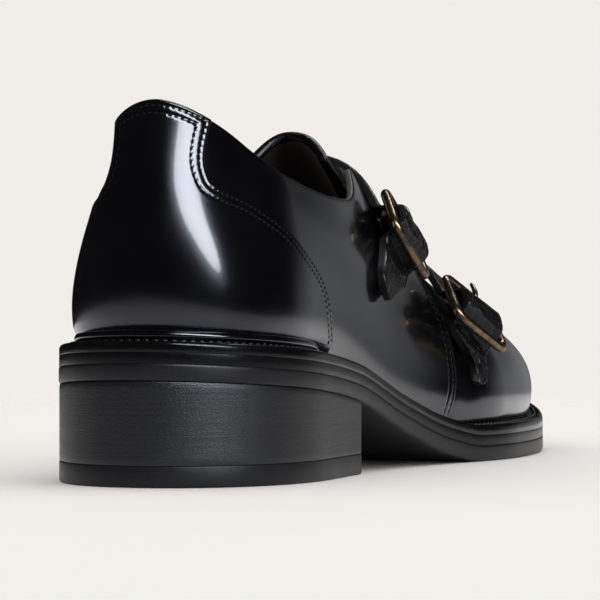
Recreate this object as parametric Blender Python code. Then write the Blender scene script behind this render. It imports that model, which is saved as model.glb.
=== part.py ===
import math
from collections import namedtuple

import bmesh
import bpy
import numpy as np
from mathutils import Vector
from mathutils.bvhtree import BVHTree

# A right shoe with two buckled straps, worked out in millimetres from the back of the heel.
# The toe points along +Y and the outer side of the foot is +X.
MM = 0.001
LENGTH = 268.0
HEEL_CENTRE = 45.0
TOE_CENTRE = 172.0
HEEL_ROUND = 2.06
TOE_ROUND = {1: 2.15, -1: 2.3}
HEEL_LENGTH = 76.0

# Layers of the bottom, from the floor up
TOP_LIFT = 5.1
OUTSOLE = 4.0
MIDSOLE = 2.5
WELT = 2.6
LAYER_GAP = 0.25
INSOLE = 2.4

# Leather
WALL = 1.9
QUARTER_STEP = 1.0
COUNTER = 1.1
STRAP = 2.0
STRAP_HALF_WIDTH = 7.9
TONGUE = 1.8
FIT = 0.35

# Buckle and its bar, prong and fold of leather
WIRE = 1.25
BAR = 0.9
PRONG = 0.7
FRAME_HALF_WIDTH = 10.3
FRAME_HALF_LENGTH = 7.6
FRAME_CORNER = 3.0
BAR_UP = 2.9
FOLD = 0.9
TAIL = 1.0
TAIL_LENGTH = 5.0
END_START = 6.0
TAB_HALF_WIDTH = 5.0

# Edge of the sole on each side of the axis, the ledge it leaves round the upper, and the last's spine
Edge = namedtuple("Edge", "station lateral medial ledge spine")
EDGES = (
    Edge(45.0, 32.0, 32.0, 7.2, 0.0),
    Edge(76.0, 31.5, 30.6, 5.4, 0.0),
    Edge(105.0, 33.6, 29.0, 4.6, 1.2),
    Edge(138.0, 39.6, 37.2, 5.0, -2.5),
    Edge(172.0, 46.2, 46.2, 4.8, -5.0),
)

# Underside of the outsole above the floor: seat, arch, tread and toe spring
Tread = namedtuple("Tread", "station height")
TREADS = (
    Tread(0.0, 24.8),
    Tread(40.0, 21.8),
    Tread(76.0, 17.9),
    Tread(110.0, 8.6),
    Tread(134.0, 2.4),
    Tread(151.0, 0.0),
    Tread(205.0, 0.0),
    Tread(240.0, 2.6),
    Tread(268.0, 8.6),
)

# Sections of the last: radius as a share of the seat's, and height above the seat
Section = namedtuple(
    "Section",
    "station turn bulge bulge_up wall wall_up shoulder shoulder_up crown crown_up top top_up",
)
SECTIONS = (
    Section(45, -90, 1.055, 9.0, 1.035, 25, 0.905, 42, 0.80, 58.0, 0.72, 80.0),
    Section(45, -45, 1.06, 9.0, 0.965, 24, 0.755, 40, 0.63, 56.0, 0.54, 78.0),
    Section(45, 0, 1.075, 10.0, 1.01, 24, 0.81, 39, 0.66, 56.0, 0.47, 76.0),
    Section(76, 0, 1.05, 9.0, 1.00, 22, 0.87, 41, 0.60, 61.0, 0.12, 74.0),
    Section(105, 0, 1.02, 8.0, 0.95, 22, 0.75, 47, 0.37, 70.0, 0.0, 74.0),
    Section(138, 0, 1.03, 9.0, 0.93, 24, 0.60, 48, 0.25, 62.5, 0.0, 64.0),
    Section(172, 0, 1.04, 8.0, 0.96, 20, 0.61, 36, 0.25, 45.8, 0.0, 47.0),
    Section(172, 30, 1.035, 8.0, 0.96, 18.5, 0.65, 31, 0.31, 42.5, 0.0, 47.0),
    Section(172, 60, 1.03, 8.0, 0.965, 17, 0.73, 26, 0.36, 35.5, 0.0, 44.5),
    Section(172, 90, 1.025, 7.5, 0.965, 15.5, 0.75, 22.5, 0.36, 30.0, 0.0, 39.5),
)

# Height of the collar over the floor
Collar = namedtuple("Collar", "station turn height")
COLLARS = (
    Collar(45, -90, 89.4),
    Collar(45, -66, 85.0),
    Collar(45, -40, 79.0),
    Collar(45, 0, 73.0),
    Collar(66, 0, 69.2),
    Collar(88, 0, 67.4),
    Collar(100, 0, 69.0),
    Collar(112, 0, 76.0),
    Collar(124, 0, 79.0),
)

# Half width of the instep opening between the quarters
Facing = namedtuple("Facing", "station half")
FACINGS = (
    Facing(108.0, 16.5),
    Facing(130.0, 13.0),
    Facing(152.0, 10.5),
    Facing(172.0, 8.5),
)

# Edge of the counter from the seat up: height over the floor, and where it is round the heel
CounterEdge = namedtuple("CounterEdge", "height station turn")
COUNTER_EDGES = (
    CounterEdge(33.0, 63.0, 0.0),
    CounterEdge(46.0, 56.0, 0.0),
    CounterEdge(59.0, 45.0, -16.0),
    CounterEdge(66.0, 45.0, -48.0),
    CounterEdge(71.0, 45.0, -69.0),
    CounterEdge(76.0, 45.0, -71.0),
    CounterEdge(90.0, 45.0, -66.0),
)

# Straps: where each crosses the instep, the pitch of the instep there, and lengths from the crossing
Strap = namedtuple("Strap", "name station pitch medial buckle tip sweep side start cut")
STRAPS = (
    Strap("upper", 140.0, 45.0, -26.0, 37.0, 63.0, -4.5, 1, 0.1, 0.5),
    Strap("lower", 174.0, 40.0, -24.0, 50.0, 65.5, 3.5, -1, -0.9, 0.6),
)

TONGUE_TOP = 119.5
TONGUE_FOOT = 184.0
TONGUE_PITCH = 40.0
TONGUE_HALF_ARC = 24.0
SEAM_STATION = 140.0
SEAM_LEAN = 13.0


def clamped_spline(knots, values):
    """Smooth curve through the rows, level at both ends."""
    knots = np.asarray(knots, float)
    values = np.asarray(values, float)
    count = len(knots)
    gaps = np.diff(knots)
    matrix = np.eye(count)
    right = np.zeros(values.shape)
    for i in range(1, count - 1):
        matrix[i, i - 1] = gaps[i]
        matrix[i, i] = 2 * (gaps[i - 1] + gaps[i])
        matrix[i, i + 1] = gaps[i - 1]
        before = (values[i] - values[i - 1]) / gaps[i - 1]
        after = (values[i + 1] - values[i]) / gaps[i]
        right[i] = 3 * (gaps[i] * before + gaps[i - 1] * after)
    slopes = np.linalg.solve(matrix, right)
    return lambda x: hermite(x, knots, values, slopes)


def steady_curve(knots, values):
    """Curve through the rows that stays level where two rows are level."""
    knots = np.asarray(knots, float)
    values = np.asarray(values, float)
    rises = np.diff(values) / np.diff(knots)
    slopes = np.zeros(len(knots))
    for i in range(1, len(knots) - 1):
        if rises[i - 1] * rises[i] > 0:
            slopes[i] = 2 * rises[i - 1] * rises[i] / (rises[i - 1] + rises[i])
    slopes[0] = rises[0]
    slopes[-1] = rises[-1]
    return lambda x: hermite(x, knots, values, slopes)


def hermite(x, knots, values, slopes):
    x = min(max(x, knots[0]), knots[-1])
    i = min(max(int(np.searchsorted(knots, x)) - 1, 0), len(knots) - 2)
    gap = knots[i + 1] - knots[i]
    t = (x - knots[i]) / gap
    start = (1 + 2 * t) * (1 - t) ** 2 * values[i] + t * (1 - t) ** 2 * gap * slopes[i]
    end = t * t * (3 - 2 * t) * values[i + 1] + t * t * (t - 1) * gap * slopes[i + 1]
    return start + end


def smooth(t):
    t = min(max(t, 0.0), 1.0)
    return t * t * (3 - 2 * t)


def column(rows, name):
    return [getattr(row, name) for row in rows]


edge_stations = column(EDGES, "station")
edge_x = {
    1: clamped_spline(edge_stations, column(EDGES, "lateral")),
    -1: clamped_spline(edge_stations, column(EDGES, "medial")),
}
ledge_at = clamped_spline(edge_stations, column(EDGES, "ledge"))
spine_at = clamped_spline(edge_stations, column(EDGES, "spine"))
tread_at = steady_curve(column(TREADS, "station"), column(TREADS, "height"))
facing_at = clamped_spline(column(FACINGS, "station"), column(FACINGS, "half"))
STACK = OUTSOLE + MIDSOLE + WELT + 2 * LAYER_GAP


def sole_radius(station, turn, side):
    """Distance from the spine to the edge of the sole, turning round the heel and the toe."""
    half = edge_x[side](station) - side * spine_at(station)
    if turn == 0:
        return half
    reach = HEEL_CENTRE if turn < 0 else LENGTH - TOE_CENTRE
    power = HEEL_ROUND if turn < 0 else TOE_ROUND[side]
    angle = math.radians(abs(turn))
    across = (abs(math.cos(angle)) / half) ** power
    along = (math.sin(angle) / reach) ** power
    return (across + along) ** (-1 / power)


def on_plan(station, turn, side, radius):
    angle = math.radians(turn)
    x = spine_at(station) + side * radius * math.cos(angle)
    return x, station + radius * math.sin(angle)


def sole_edge(station, turn, side, inset):
    return on_plan(station, turn, side, sole_radius(station, turn, side) - inset)


def toe_turns(count):
    """Turns round the toe, closer together towards its tip."""
    return [90 * (1 - (1 - t) ** 1.5) for t in np.linspace(0, 1, count)]


def half_round(heel, middle, toe):
    """Positions from the middle of the back to the tip of the toe."""
    places = [(HEEL_CENTRE, a) for a in np.linspace(-90, 0, heel)]
    places += [(s, 0.0) for s in np.linspace(HEEL_CENTRE, TOE_CENTRE, middle + 2)[1:-1]]
    places += [(TOE_CENTRE, a) for a in toe_turns(toe)]
    return places


def run_lengths():
    places = half_round(40, 60, 40)
    points = np.array([sole_edge(s, t, 1, 0) for s, t in places])
    steps = np.linalg.norm(np.diff(points, axis=0), axis=1)
    return np.array([s + t for s, t in places]), np.concatenate([[0], np.cumsum(steps)])


PLACE_KEYS, PLACE_RUNS = run_lengths()


def run_of(station, turn):
    """Length along the sole's outer edge from the back, which the tables are spaced by."""
    return float(np.interp(station + turn, PLACE_KEYS, PLACE_RUNS))


section_at = clamped_spline(
    [run_of(row.station, row.turn) for row in SECTIONS],
    [row[2:] for row in SECTIONS],
)
collar_at = clamped_spline(
    [run_of(row.station, row.turn) for row in COLLARS],
    column(COLLARS, "height"),
)


def seat(station, turn, side):
    radius = sole_radius(station, turn, side) - ledge_at(station)
    along = on_plan(station, turn, side, radius)[1]
    return radius, tread_at(along) + STACK + FIT


def profile(station, turn, side):
    """Control points of one section, from the seat up to the ridge."""
    radius, floor = seat(station, turn, side)
    shape = section_at(run_of(station, turn))
    if turn > 0:
        pole = tread_at(TOE_CENTRE) + STACK + FIT + SECTIONS[6].top_up
    points = [(radius, floor)]
    for share, up in zip(shape[0::2], shape[1::2]):
        points.append((radius * share, floor + up))
    if turn > 0:
        points[-1] = (0.0, pole)
    points = np.array(points)
    tilt = max(math.sin(math.radians(turn)), 0.0)
    start = 2 * points[0] - points[1]
    end = 2 * points[-1] - points[-2]
    end[1] = points[-2][1] + tilt * 2 * (points[-1][1] - points[-2][1])
    return np.vstack([start, points, end])


def along_profile(points, v):
    """Cubic B-spline through a section's control points, v from 0 at the seat."""
    last = len(points) - 3
    v = min(max(v, 0.0), last)
    i = min(int(v), last - 1)
    t = v - i
    w = (
        (1 - t) ** 3 / 6,
        (3 * t**3 - 6 * t**2 + 4) / 6,
        (-3 * t**3 + 3 * t**2 + 3 * t + 1) / 6,
        t**3 / 6,
    )
    return sum(w[k] * points[i + k] for k in range(4))


def find(points, test):
    """Place on a section where the test turns true, from the seat up."""
    low = 0.0
    high = float(len(points) - 3)
    for _ in range(30):
        middle = (low + high) / 2
        if test(along_profile(points, middle)):
            high = middle
        else:
            low = middle
    return high


def topline(station, turn, side):
    """Where the wall ends: the collar behind, the instep opening ahead of it."""
    points = profile(station, turn, side)
    height = collar_at(run_of(station, turn))
    half = facing_at(station)
    ahead = 1.0 if turn > 0 else smooth((station - 106.0) / 14.0)
    collar = find(points, lambda p: p[1] > height) if ahead < 1 else 0.0
    facing = find(points, lambda p: p[0] < half) if ahead > 0 else 0.0
    return collar * (1 - ahead) + facing * ahead


def skin(station, turn, side, v):
    radius, height = along_profile(profile(station, turn, side), v)
    x, y = on_plan(station, turn, side, radius)
    return np.array([x, y, height])


def nudged(station, turn, amount):
    """The place a little further round, from the back to the toe."""
    behind = station <= HEEL_CENTRE and amount < 0
    ahead = station >= TOE_CENTRE and amount > 0
    if turn != 0 or behind or ahead:
        return station, turn + amount
    return station + amount, turn


def skin_normal(station, turn, side, v):
    ahead = skin(*nudged(station, turn, 0.4), side, v)
    behind = skin(*nudged(station, turn, -0.4), side, v)
    over = skin(station, turn, side, v + 0.02)
    under = skin(station, turn, side, v - 0.02)
    normal = np.cross(ahead - behind, over - under) * side
    return normal / np.linalg.norm(normal)


def lifted(station, turn, side, v, lift):
    return skin(station, turn, side, v) + lift * skin_normal(station, turn, side, v)


def lean(station, share):
    """The front seam of a quarter leans forward on its way up."""
    forward = SEAM_LEAN * share
    if station < SEAM_STATION:
        return station + forward * smooth((station - 92.0) / (SEAM_STATION - 92.0))
    return station + forward * max(TOE_CENTRE - station, 0.0) / (TOE_CENTRE - SEAM_STATION)


def make_object(name, points, faces, colour, roughness, metal=0.0):
    mesh = bpy.data.meshes.new(name)
    shift = np.array([0.0, LENGTH / 2, 0.0])
    mesh.from_pydata([tuple((np.asarray(p) - shift) * MM) for p in points], [], faces)
    shape = bmesh.new()
    shape.from_mesh(mesh)
    bmesh.ops.remove_doubles(shape, verts=shape.verts, dist=0.02 * MM)
    bmesh.ops.dissolve_degenerate(shape, edges=shape.edges, dist=0.01 * MM)
    bmesh.ops.recalc_face_normals(shape, faces=shape.faces)
    shape.to_mesh(mesh)
    shape.free()
    mesh.shade_smooth()
    mesh.set_sharp_from_angle(angle=math.radians(35))
    thing = bpy.data.objects.new(name, mesh)
    bpy.context.scene.collection.objects.link(thing)
    material = bpy.data.materials.new(name)
    material.use_nodes = True
    surface = material.node_tree.nodes["Principled BSDF"]
    surface.inputs["Base Color"].default_value = (*colour, 1)
    surface.inputs["Roughness"].default_value = roughness
    surface.inputs["Metallic"].default_value = metal
    mesh.materials.append(material)
    return thing


def sheet(name, outer, inner, ring, colour, roughness):
    """Solid between two grids of the same size; a ring joins its last row to its first."""
    rows = len(outer)
    cols = len(outer[0])
    points = [p for row in outer for p in row] + [p for row in inner for p in row]
    back = rows * cols
    faces = []
    steps = rows if ring else rows - 1
    for i in range(steps):
        j = (i + 1) % rows
        for k in range(cols - 1):
            a, b, c, d = i * cols + k, j * cols + k, j * cols + k + 1, i * cols + k + 1
            faces.append((a, b, c, d))
            faces.append((back + d, back + c, back + b, back + a))
        for k in (0, cols - 1):
            faces.append((i * cols + k, j * cols + k, back + j * cols + k, back + i * cols + k))
    if not ring:
        for i in (0, rows - 1):
            for k in range(cols - 1):
                a = i * cols + k
                faces.append((a, a + 1, back + a + 1, back + a))
    return make_object(name, points, faces, colour, roughness)


def plate(name, places, profile_rows, base, colour, roughness, blunt=False):
    """Solid across the shoe: rows of an edge profile hold the inset and the height over the base."""
    rings = []
    for inset, up in profile_rows:
        ring = []
        for side in (1, -1):
            for station, turn in places:
                x, y = sole_edge(station, turn, side, inset)
                ring.append((x, y, base(y) + up if up is not None else 0.0))
        rings.append(ring)
    count = len(places)
    points = [p for ring in rings for p in ring]
    faces = []
    for r in range(len(rings) - 1):
        low = r * 2 * count
        high = low + 2 * count
        for side in (0, count):
            for i in range(count - 1):
                a = side + i
                faces.append((low + a, low + a + 1, high + a + 1, high + a))
        if blunt:
            a = count - 1
            b = 2 * count - 1
            faces.append((low + a, low + b, high + b, high + a))
    for level in (0, (len(rings) - 1) * 2 * count):
        for i in range(count - 1):
            a = level + i
            b = level + count + i
            faces.append((a, a + 1, b + 1, b))
    return make_object(name, points, faces, colour, roughness)


def tube(name, path, radius, sides, colour, roughness, metal, ring):
    """Round bar along a path of points."""
    path = np.asarray(path, float)
    count = len(path)
    points = []
    frame = None
    for i in range(count):
        if ring:
            along = path[(i + 1) % count] - path[i - 1]
        else:
            along = path[min(i + 1, count - 1)] - path[max(i - 1, 0)]
        along = along / np.linalg.norm(along)
        if frame is None:
            frame = np.cross(along, (0.3, 0.5, 0.81))
        frame = frame - along * frame.dot(along)
        frame = frame / np.linalg.norm(frame)
        other = np.cross(along, frame)
        for k in range(sides):
            angle = 2 * math.pi * k / sides
            points.append(path[i] + radius * (math.cos(angle) * frame + math.sin(angle) * other))
    faces = []
    for i in range(count if ring else count - 1):
        j = (i + 1) % count
        for k in range(sides):
            m = (k + 1) % sides
            faces.append((i * sides + k, i * sides + m, j * sides + m, j * sides + k))
    if not ring:
        faces.append(tuple(range(sides)))
        faces.append(tuple((count - 1) * sides + k for k in range(sides)))
    return make_object(name, points, faces, colour, roughness, metal)


def combine(thing, other, operation):
    """Cut or join with a helper that stays out of the finished part."""
    other.hide_render = True
    other.display_type = "WIRE"
    modifier = thing.modifiers.new(operation.title(), "BOOLEAN")
    modifier.operation = operation
    modifier.solver = "EXACT"
    modifier.object = other


def closed_last():
    """Search tree over the closed last, a quarter's step above the vamp."""
    places = half_round(24, 70, 30)
    points = []
    cols = 41
    for side in (1, -1):
        for station, turn in places:
            for k in range(cols):
                v = 5.0 * k / (cols - 1)
                points.append(Vector(skin(station, turn, side, v)))
    count = len(places)
    faces = []
    for side in range(2):
        for i in range(count - 1):
            for k in range(cols - 1):
                a = (side * count + i) * cols + k
                face = (a, a + cols, a + cols + 1, a + 1)
                faces.append(face if side == 0 else face[::-1])
    return BVHTree.FromPolygons(points, faces)


def arch(tree, station, pitch, offset):
    """Section of the last square to the instep: points, and lengths from the ridge outwards."""
    slope = math.radians(pitch)
    forward = np.array([0.0, math.cos(slope), -math.sin(slope)])
    upward = np.array([0.0, math.sin(slope), math.cos(slope)])
    start = skin(station, 0, 1, 5.0) - 34.0 * upward + offset * forward
    found = []
    for angle in np.linspace(240, -60, 241):
        turn = math.radians(angle)
        ray = math.cos(turn) * np.array([1.0, 0, 0]) + math.sin(turn) * upward
        hit = tree.ray_cast(Vector(start), Vector(ray))[0]
        if hit is not None:
            found.append(np.array(hit))
    found = np.array(found)
    lengths = np.concatenate([[0], np.cumsum(np.linalg.norm(np.diff(found, axis=0), axis=1))])
    i = int(np.argmax(found[:, 0] > start[0]))
    share = (start[0] - found[i - 1, 0]) / (found[i, 0] - found[i - 1, 0])
    ridge = lengths[i - 1] + share * (lengths[i] - lengths[i - 1])
    return found, lengths - ridge


def arches(tree, station, pitch, reach):
    """Sections side by side over a strip, each way from its middle."""
    offsets = np.linspace(-reach, reach, 13)
    return offsets, [arch(tree, station, pitch, offset) for offset in offsets]


def on_strip(strip, length, across):
    offsets, lines = strip
    place = np.interp(across, offsets, np.arange(len(offsets)))
    i = min(int(place), len(offsets) - 2)
    ends = []
    for found, lengths in lines[i : i + 2]:
        ends.append(np.array([np.interp(length, lengths, found[:, k]) for k in range(3)]))
    return ends[0] + (place - i) * (ends[1] - ends[0])


def strip_frame(strip, length, across):
    """Point on the last with its directions along, across and out of the strip."""
    reach = strip[0][-1]
    along = on_strip(strip, length + 2.5, across) - on_strip(strip, length - 2.5, across)
    near = max(across - 3.0, -reach)
    far = min(across + 3.0, reach)
    side = on_strip(strip, length, far) - on_strip(strip, length, near)
    along = along / np.linalg.norm(along)
    normal = np.cross(along, side)
    normal = normal / np.linalg.norm(normal)
    return on_strip(strip, length, across), along, np.cross(normal, along), normal


def over_strip(strip, length, across, lift):
    place, _, _, normal = strip_frame(strip, length, across)
    return place + lift * normal


def squared(strip, length, across):
    """Place on the strip at a distance across, square to its own direction."""
    _, along, side, _ = strip_frame(strip, length, 0.0)
    step = on_strip(strip, length, 3.0) - on_strip(strip, length, -3.0)
    out = step.dot(side)
    return length - across * step.dot(along) / out, across * 6.0 / out


def strap_lift(strap, length):
    """Clearance under a strap: over the fold at the bar, and standing off towards its tip."""
    beyond = length - strap.buckle
    spread = 4.4 if beyond < 0 else 5.2
    hump = (BAR_UP + BAR + FOLD + 1.9) * math.exp(-((beyond / spread) ** 4))
    free = 0.5 * smooth(beyond / 6.0) + 0.4 * smooth((beyond - 9.0) / 12.0)
    return QUARTER_STEP + FIT + math.hypot(hump, free)


def clear_scene():
    for thing in list(bpy.data.objects):
        bpy.data.objects.remove(thing, do_unlink=True)


def build_bottom():
    black = (0.012, 0.012, 0.013)
    places = half_round(10, 16, 10)
    heel = [(HEEL_CENTRE, a) for a in np.linspace(-90, 0, 12)]
    heel += [(s, 0.0) for s in np.linspace(HEEL_CENTRE, HEEL_LENGTH, 5)[1:]]
    foot = ((0.7, 0.0), (0.0, 0.7), (0.0, OUTSOLE - 0.3), (0.3, OUTSOLE))
    plate("outsole", places, foot, tread_at, black, 0.55)
    low = OUTSOLE + LAYER_GAP
    middle = ((0.35, low), (0.1, low + 0.25), (0.1, low + MIDSOLE - 0.25), (0.35, low + MIDSOLE))
    plate("midsole", places, middle, tread_at, black, 0.4)
    low = low + MIDSOLE + LAYER_GAP
    high = low + WELT
    rim = ((0.35, low), (0.1, low + 0.25), (0.1, high - 1.0), (0.5, high - 0.3), (1.3, high))
    plate("welt", places, rim, tread_at, black, 0.3)
    block = ((0.15, None), (0.15, -LAYER_GAP))
    thing = plate("heel_block", heel, block, tread_at, black, 0.5, blunt=True)
    for vertex in thing.data.vertices:
        if vertex.co.z < 1e-6:
            vertex.co.z = (TOP_LIFT + LAYER_GAP) * MM
    lift = ((0.6, 0.0), (0.1, 0.5), (0.1, TOP_LIFT))
    plate("top_lift", heel, lift, lambda y: 0.0, black, 0.6, blunt=True)


def build_seat_bead():
    outer = []
    inner = []
    places = [(s, 0.0, 1) for s in np.linspace(60, HEEL_CENTRE, 5)[:-1]]
    places += [(HEEL_CENTRE, a, 1) for a in np.linspace(0, -90, 10)]
    places += [(HEEL_CENTRE, a, -1) for a in np.linspace(-90, 0, 10)[1:]]
    places += [(s, 0.0, -1) for s in np.linspace(HEEL_CENTRE, 60, 5)[1:]]
    count = len(places)
    for i, (station, turn, side) in enumerate(places):
        thin = 0.45 + 0.55 * smooth(min(i, count - 1 - i) / 4.0)
        radius, floor = seat(station, turn, side)
        row = []
        for angle in np.linspace(-90, 90, 6):
            bend = math.radians(angle)
            out = 0.4 + QUARTER_STEP + 1.9 * thin * math.cos(bend)
            up = 1.2 * thin * (1 + math.sin(bend))
            x, y = on_plan(station, turn, side, radius + out)
            row.append((x, y, floor + up))
        outer.append(row)
        back = []
        for p, angle in zip(row, np.linspace(-90, 90, 6)):
            lean_out = 0.12 * (p[2] - floor)
            x, y = on_plan(station, turn, side, radius + 0.4 + QUARTER_STEP + lean_out)
            back.append((x, y, p[2]))
        inner.append(back)
    for row, back in zip(outer, inner):
        row[0] = back[0]
        row[-1] = back[-1]
    sheet("seat_bead", outer, inner, False, (0.012, 0.012, 0.013), 0.25)


def build_insole():
    places = half_round(8, 10, 8)
    rings = []
    for up in (0.3, INSOLE):
        ring = []
        for side in (1, -1):
            for station, turn in places:
                radius, floor = seat(station, turn, side)
                x, y = on_plan(station, turn, side, radius - WALL - 1.8)
                ring.append((x, y, floor + up))
        rings.append(ring)
    count = len(places)
    points = rings[0] + rings[1]
    faces = []
    for side in (0, count):
        for i in range(count - 1):
            a = side + i
            faces.append((a, a + 1, a + 1 + 2 * count, a + 2 * count))
    for level in (0, 2 * count):
        for i in range(count - 1):
            faces.append((level + i, level + i + 1, level + count + i + 1, level + count + i))
    make_object("insole", points, faces, (0.05, 0.022, 0.018), 0.6)


def build_upper():
    stations = list(np.linspace(HEEL_CENTRE, 112, 9)[1:])
    stations += [126.0, SEAM_STATION - 0.4, SEAM_STATION + 0.4, 150.0, 161.0]
    places = [(HEEL_CENTRE, a) for a in np.linspace(-90, 0, 10)]
    places += [(s, 0.0) for s in stations]
    places += [(TOE_CENTRE, a) for a in toe_turns(9)]
    ring = [(p, 1) for p in places] + [(p, -1) for p in places[-2:0:-1]]
    shares = np.concatenate([[0.0, 0.06], np.linspace(0.13, 0.94, 11), [1.0]])
    outer = []
    inner = []
    for (station, turn), side in ring:
        step = QUARTER_STEP if turn <= 0 and station < SEAM_STATION else 0.0
        row = []
        back = []
        for share in shares:
            here = lean(station, share) if turn == 0 else station
            v = share * topline(here, turn, side)
            row.append(lifted(here, turn, side, v, step))
            back.append(lifted(here, turn, side, v, -WALL))
        outer.append(row)
        inner.append(back)
    sheet("upper", outer, inner, True, (0.01, 0.01, 0.011), 0.12)


def build_counter():
    heights = column(COUNTER_EDGES, "height")
    runs = [run_of(row.station, row.turn) for row in COUNTER_EDGES]
    edge_run = steady_curve(heights, runs)
    outer = []
    inner = []
    levels = np.concatenate([np.linspace(0, 0.47, 5), np.linspace(0.56, 0.79, 11), [0.89, 1.0]])
    low = QUARTER_STEP + FIT + 0.25
    for across in np.linspace(-1, 1, 21):
        side = 1 if across >= 0 else -1
        row = []
        back = []
        for level in levels:
            place = (HEEL_CENTRE, -90.0)
            run = 0.0
            for _ in range(24):
                points = profile(*place, side)
                top = topline(*place, side) + 0.05
                v = 0.30 + (top - 0.30) * level
                run = 0.6 * run + 0.4 * abs(across) * edge_run(along_profile(points, v)[1])
                key = float(np.interp(run, PLACE_RUNS, PLACE_KEYS))
                place = (HEEL_CENTRE, key - HEEL_CENTRE) if key < HEEL_CENTRE else (key, 0.0)
            row.append(lifted(*place, side, v, low + COUNTER))
            back.append(lifted(*place, side, v, low))
        outer.append(row)
        inner.append(back)
    sheet("counter", outer, inner, False, (0.01, 0.01, 0.011), 0.1)


def build_tongue(tree):
    outer = []
    inner = []
    reach = (TONGUE_FOOT - TONGUE_TOP) / math.cos(math.radians(TONGUE_PITCH)) / 2
    strip = arches(tree, 0.5 * (TONGUE_TOP + TONGUE_FOOT), TONGUE_PITCH, reach)
    for share in np.linspace(-1, 1, 13):
        row = []
        back = []
        half = TONGUE_HALF_ARC - 5.0 * smooth(0.5 + 0.5 * share)
        for length in np.linspace(-half, half, 11):
            row.append(over_strip(strip, length, share * reach, -WALL - 1.0))
            back.append(over_strip(strip, length, share * reach, -WALL - 1.0 - TONGUE))
        outer.append(row)
        inner.append(back)
    sheet("tongue", outer, inner, False, (0.015, 0.013, 0.013), 0.3)


def on_strap(strap, strip, length, share, lift):
    """Point of a strap at a share of its half width; its end is blunt, cut on a slant and turned aside."""
    left = strap.tip - length
    narrow = max(1 - max(1 - left / 7.0, 0.0) ** 2.5, 0.02) ** 0.4
    past = max(length - strap.buckle - END_START, 0.0)
    aside = strap.sweep * past / (strap.tip - strap.buckle - END_START)
    length -= past * strap.cut * max(strap.side * share - strap.start, 0.0) / (1 - strap.start)
    lift = strap_lift(strap, length) + lift
    return over_strip(strip, *squared(strip, length, STRAP_HALF_WIDTH * share * narrow + aside), lift)


def build_strap(strap, strip):
    outer = []
    inner = []
    lengths = np.linspace(strap.medial, strap.buckle - 10.0, 12)[:-1]
    lengths = np.concatenate([lengths, np.linspace(strap.buckle - 10.0, strap.buckle + 9.0, 21)])
    lengths = np.concatenate([lengths, np.linspace(strap.buckle + 10.5, strap.tip, 7)])
    for length in lengths:
        shares = np.linspace(-1, 1, 5)
        outer.append([on_strap(strap, strip, length, share, STRAP) for share in shares])
        inner.append([on_strap(strap, strip, length, share, 0.0) for share in shares])
    return sheet("strap_" + strap.name, outer, inner, False, (0.01, 0.01, 0.011), 0.15)


def rail_heights(strap, strip, frame):
    """Height of the buckle's two rails that clears the strap under them."""
    origin, _, _, normal = frame
    rails = []
    for reach in (-FRAME_HALF_LENGTH, FRAME_HALF_LENGTH):
        tops = []
        for near in (-1.8, 0.0, 1.8):
            for share in (-1, 0, 1):
                top = on_strap(strap, strip, strap.buckle + reach + near, share, STRAP)
                tops.append((top - origin).dot(normal))
        rails.append(max(tops) + WIRE + 3 * FIT)
    return rails


def build_buckle(strap, strap_thing, frame, rails):
    origin, along, side, normal = frame
    metal = (0.28, 0.22, 0.15)

    def at(length, across, up):
        return origin + length * along + across * side + up * normal

    middle = max((rails[0] + rails[1]) / 2, BAR_UP + 0.4)
    tilt = (rails[1] - rails[0]) / (2 * FRAME_HALF_LENGTH)
    rail = middle - tilt * FRAME_HALF_LENGTH + WIRE + PRONG
    path = []
    for corner in range(4):
        sx = (1, -1, -1, 1)[corner]
        sy = (1, 1, -1, -1)[corner]
        for angle in np.linspace(0, 90, 6):
            bend = math.radians(angle + 90 * corner)
            x = sx * (FRAME_HALF_LENGTH - FRAME_CORNER) + FRAME_CORNER * math.cos(bend)
            y = sy * (FRAME_HALF_WIDTH - FRAME_CORNER) + FRAME_CORNER * math.sin(bend)
            path.append(at(x, y, middle + tilt * x))
    ring = tube("buckle_" + strap.name, path, WIRE, 8, metal, 0.3, 1.0, True)
    across_frame = []
    for y, up in ((-1, middle - 0.4), (-0.8, BAR_UP), (0.8, BAR_UP), (1, middle - 0.4)):
        across_frame.append(at(0, y * (FRAME_HALF_WIDTH - 0.2), up))
    bar = tube("bar_" + strap.name, across_frame, BAR, 8, metal, 0.3, 1.0, False)
    combine(ring, bar, "UNION")
    hook = [
        at(1.0, 0, BAR_UP - BAR - PRONG - 0.25),
        at(-0.5, 0, BAR_UP - BAR - PRONG - 0.25),
        at(-1.7, 0, BAR_UP - 0.9),
        at(-2.4, 0, BAR_UP + 0.6),
        at(-3.7, 0, BAR_UP + 2.3),
        at(-5.4, 0, rail + 0.45),
        at(-8.6, 0, rail + 0.35),
        at(-10.2, 0, rail - 0.1),
    ]
    tube("prong_" + strap.name, hook, PRONG, 8, metal, 0.3, 1.0, False)
    slot = [
        at(-1.5, 0, BAR_UP - 1.2),
        at(-2.4, 0, BAR_UP + 0.6),
        at(-3.7, 0, BAR_UP + 2.3),
        at(-5.4, 0, rail + 0.45),
        at(-6.4, 0, rail + 1.6),
    ]
    cutter = tube("hole_" + strap.name, slot, PRONG + 0.9, 10, metal, 0.3, 0.0, False)
    combine(strap_thing, cutter, "DIFFERENCE")


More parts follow.
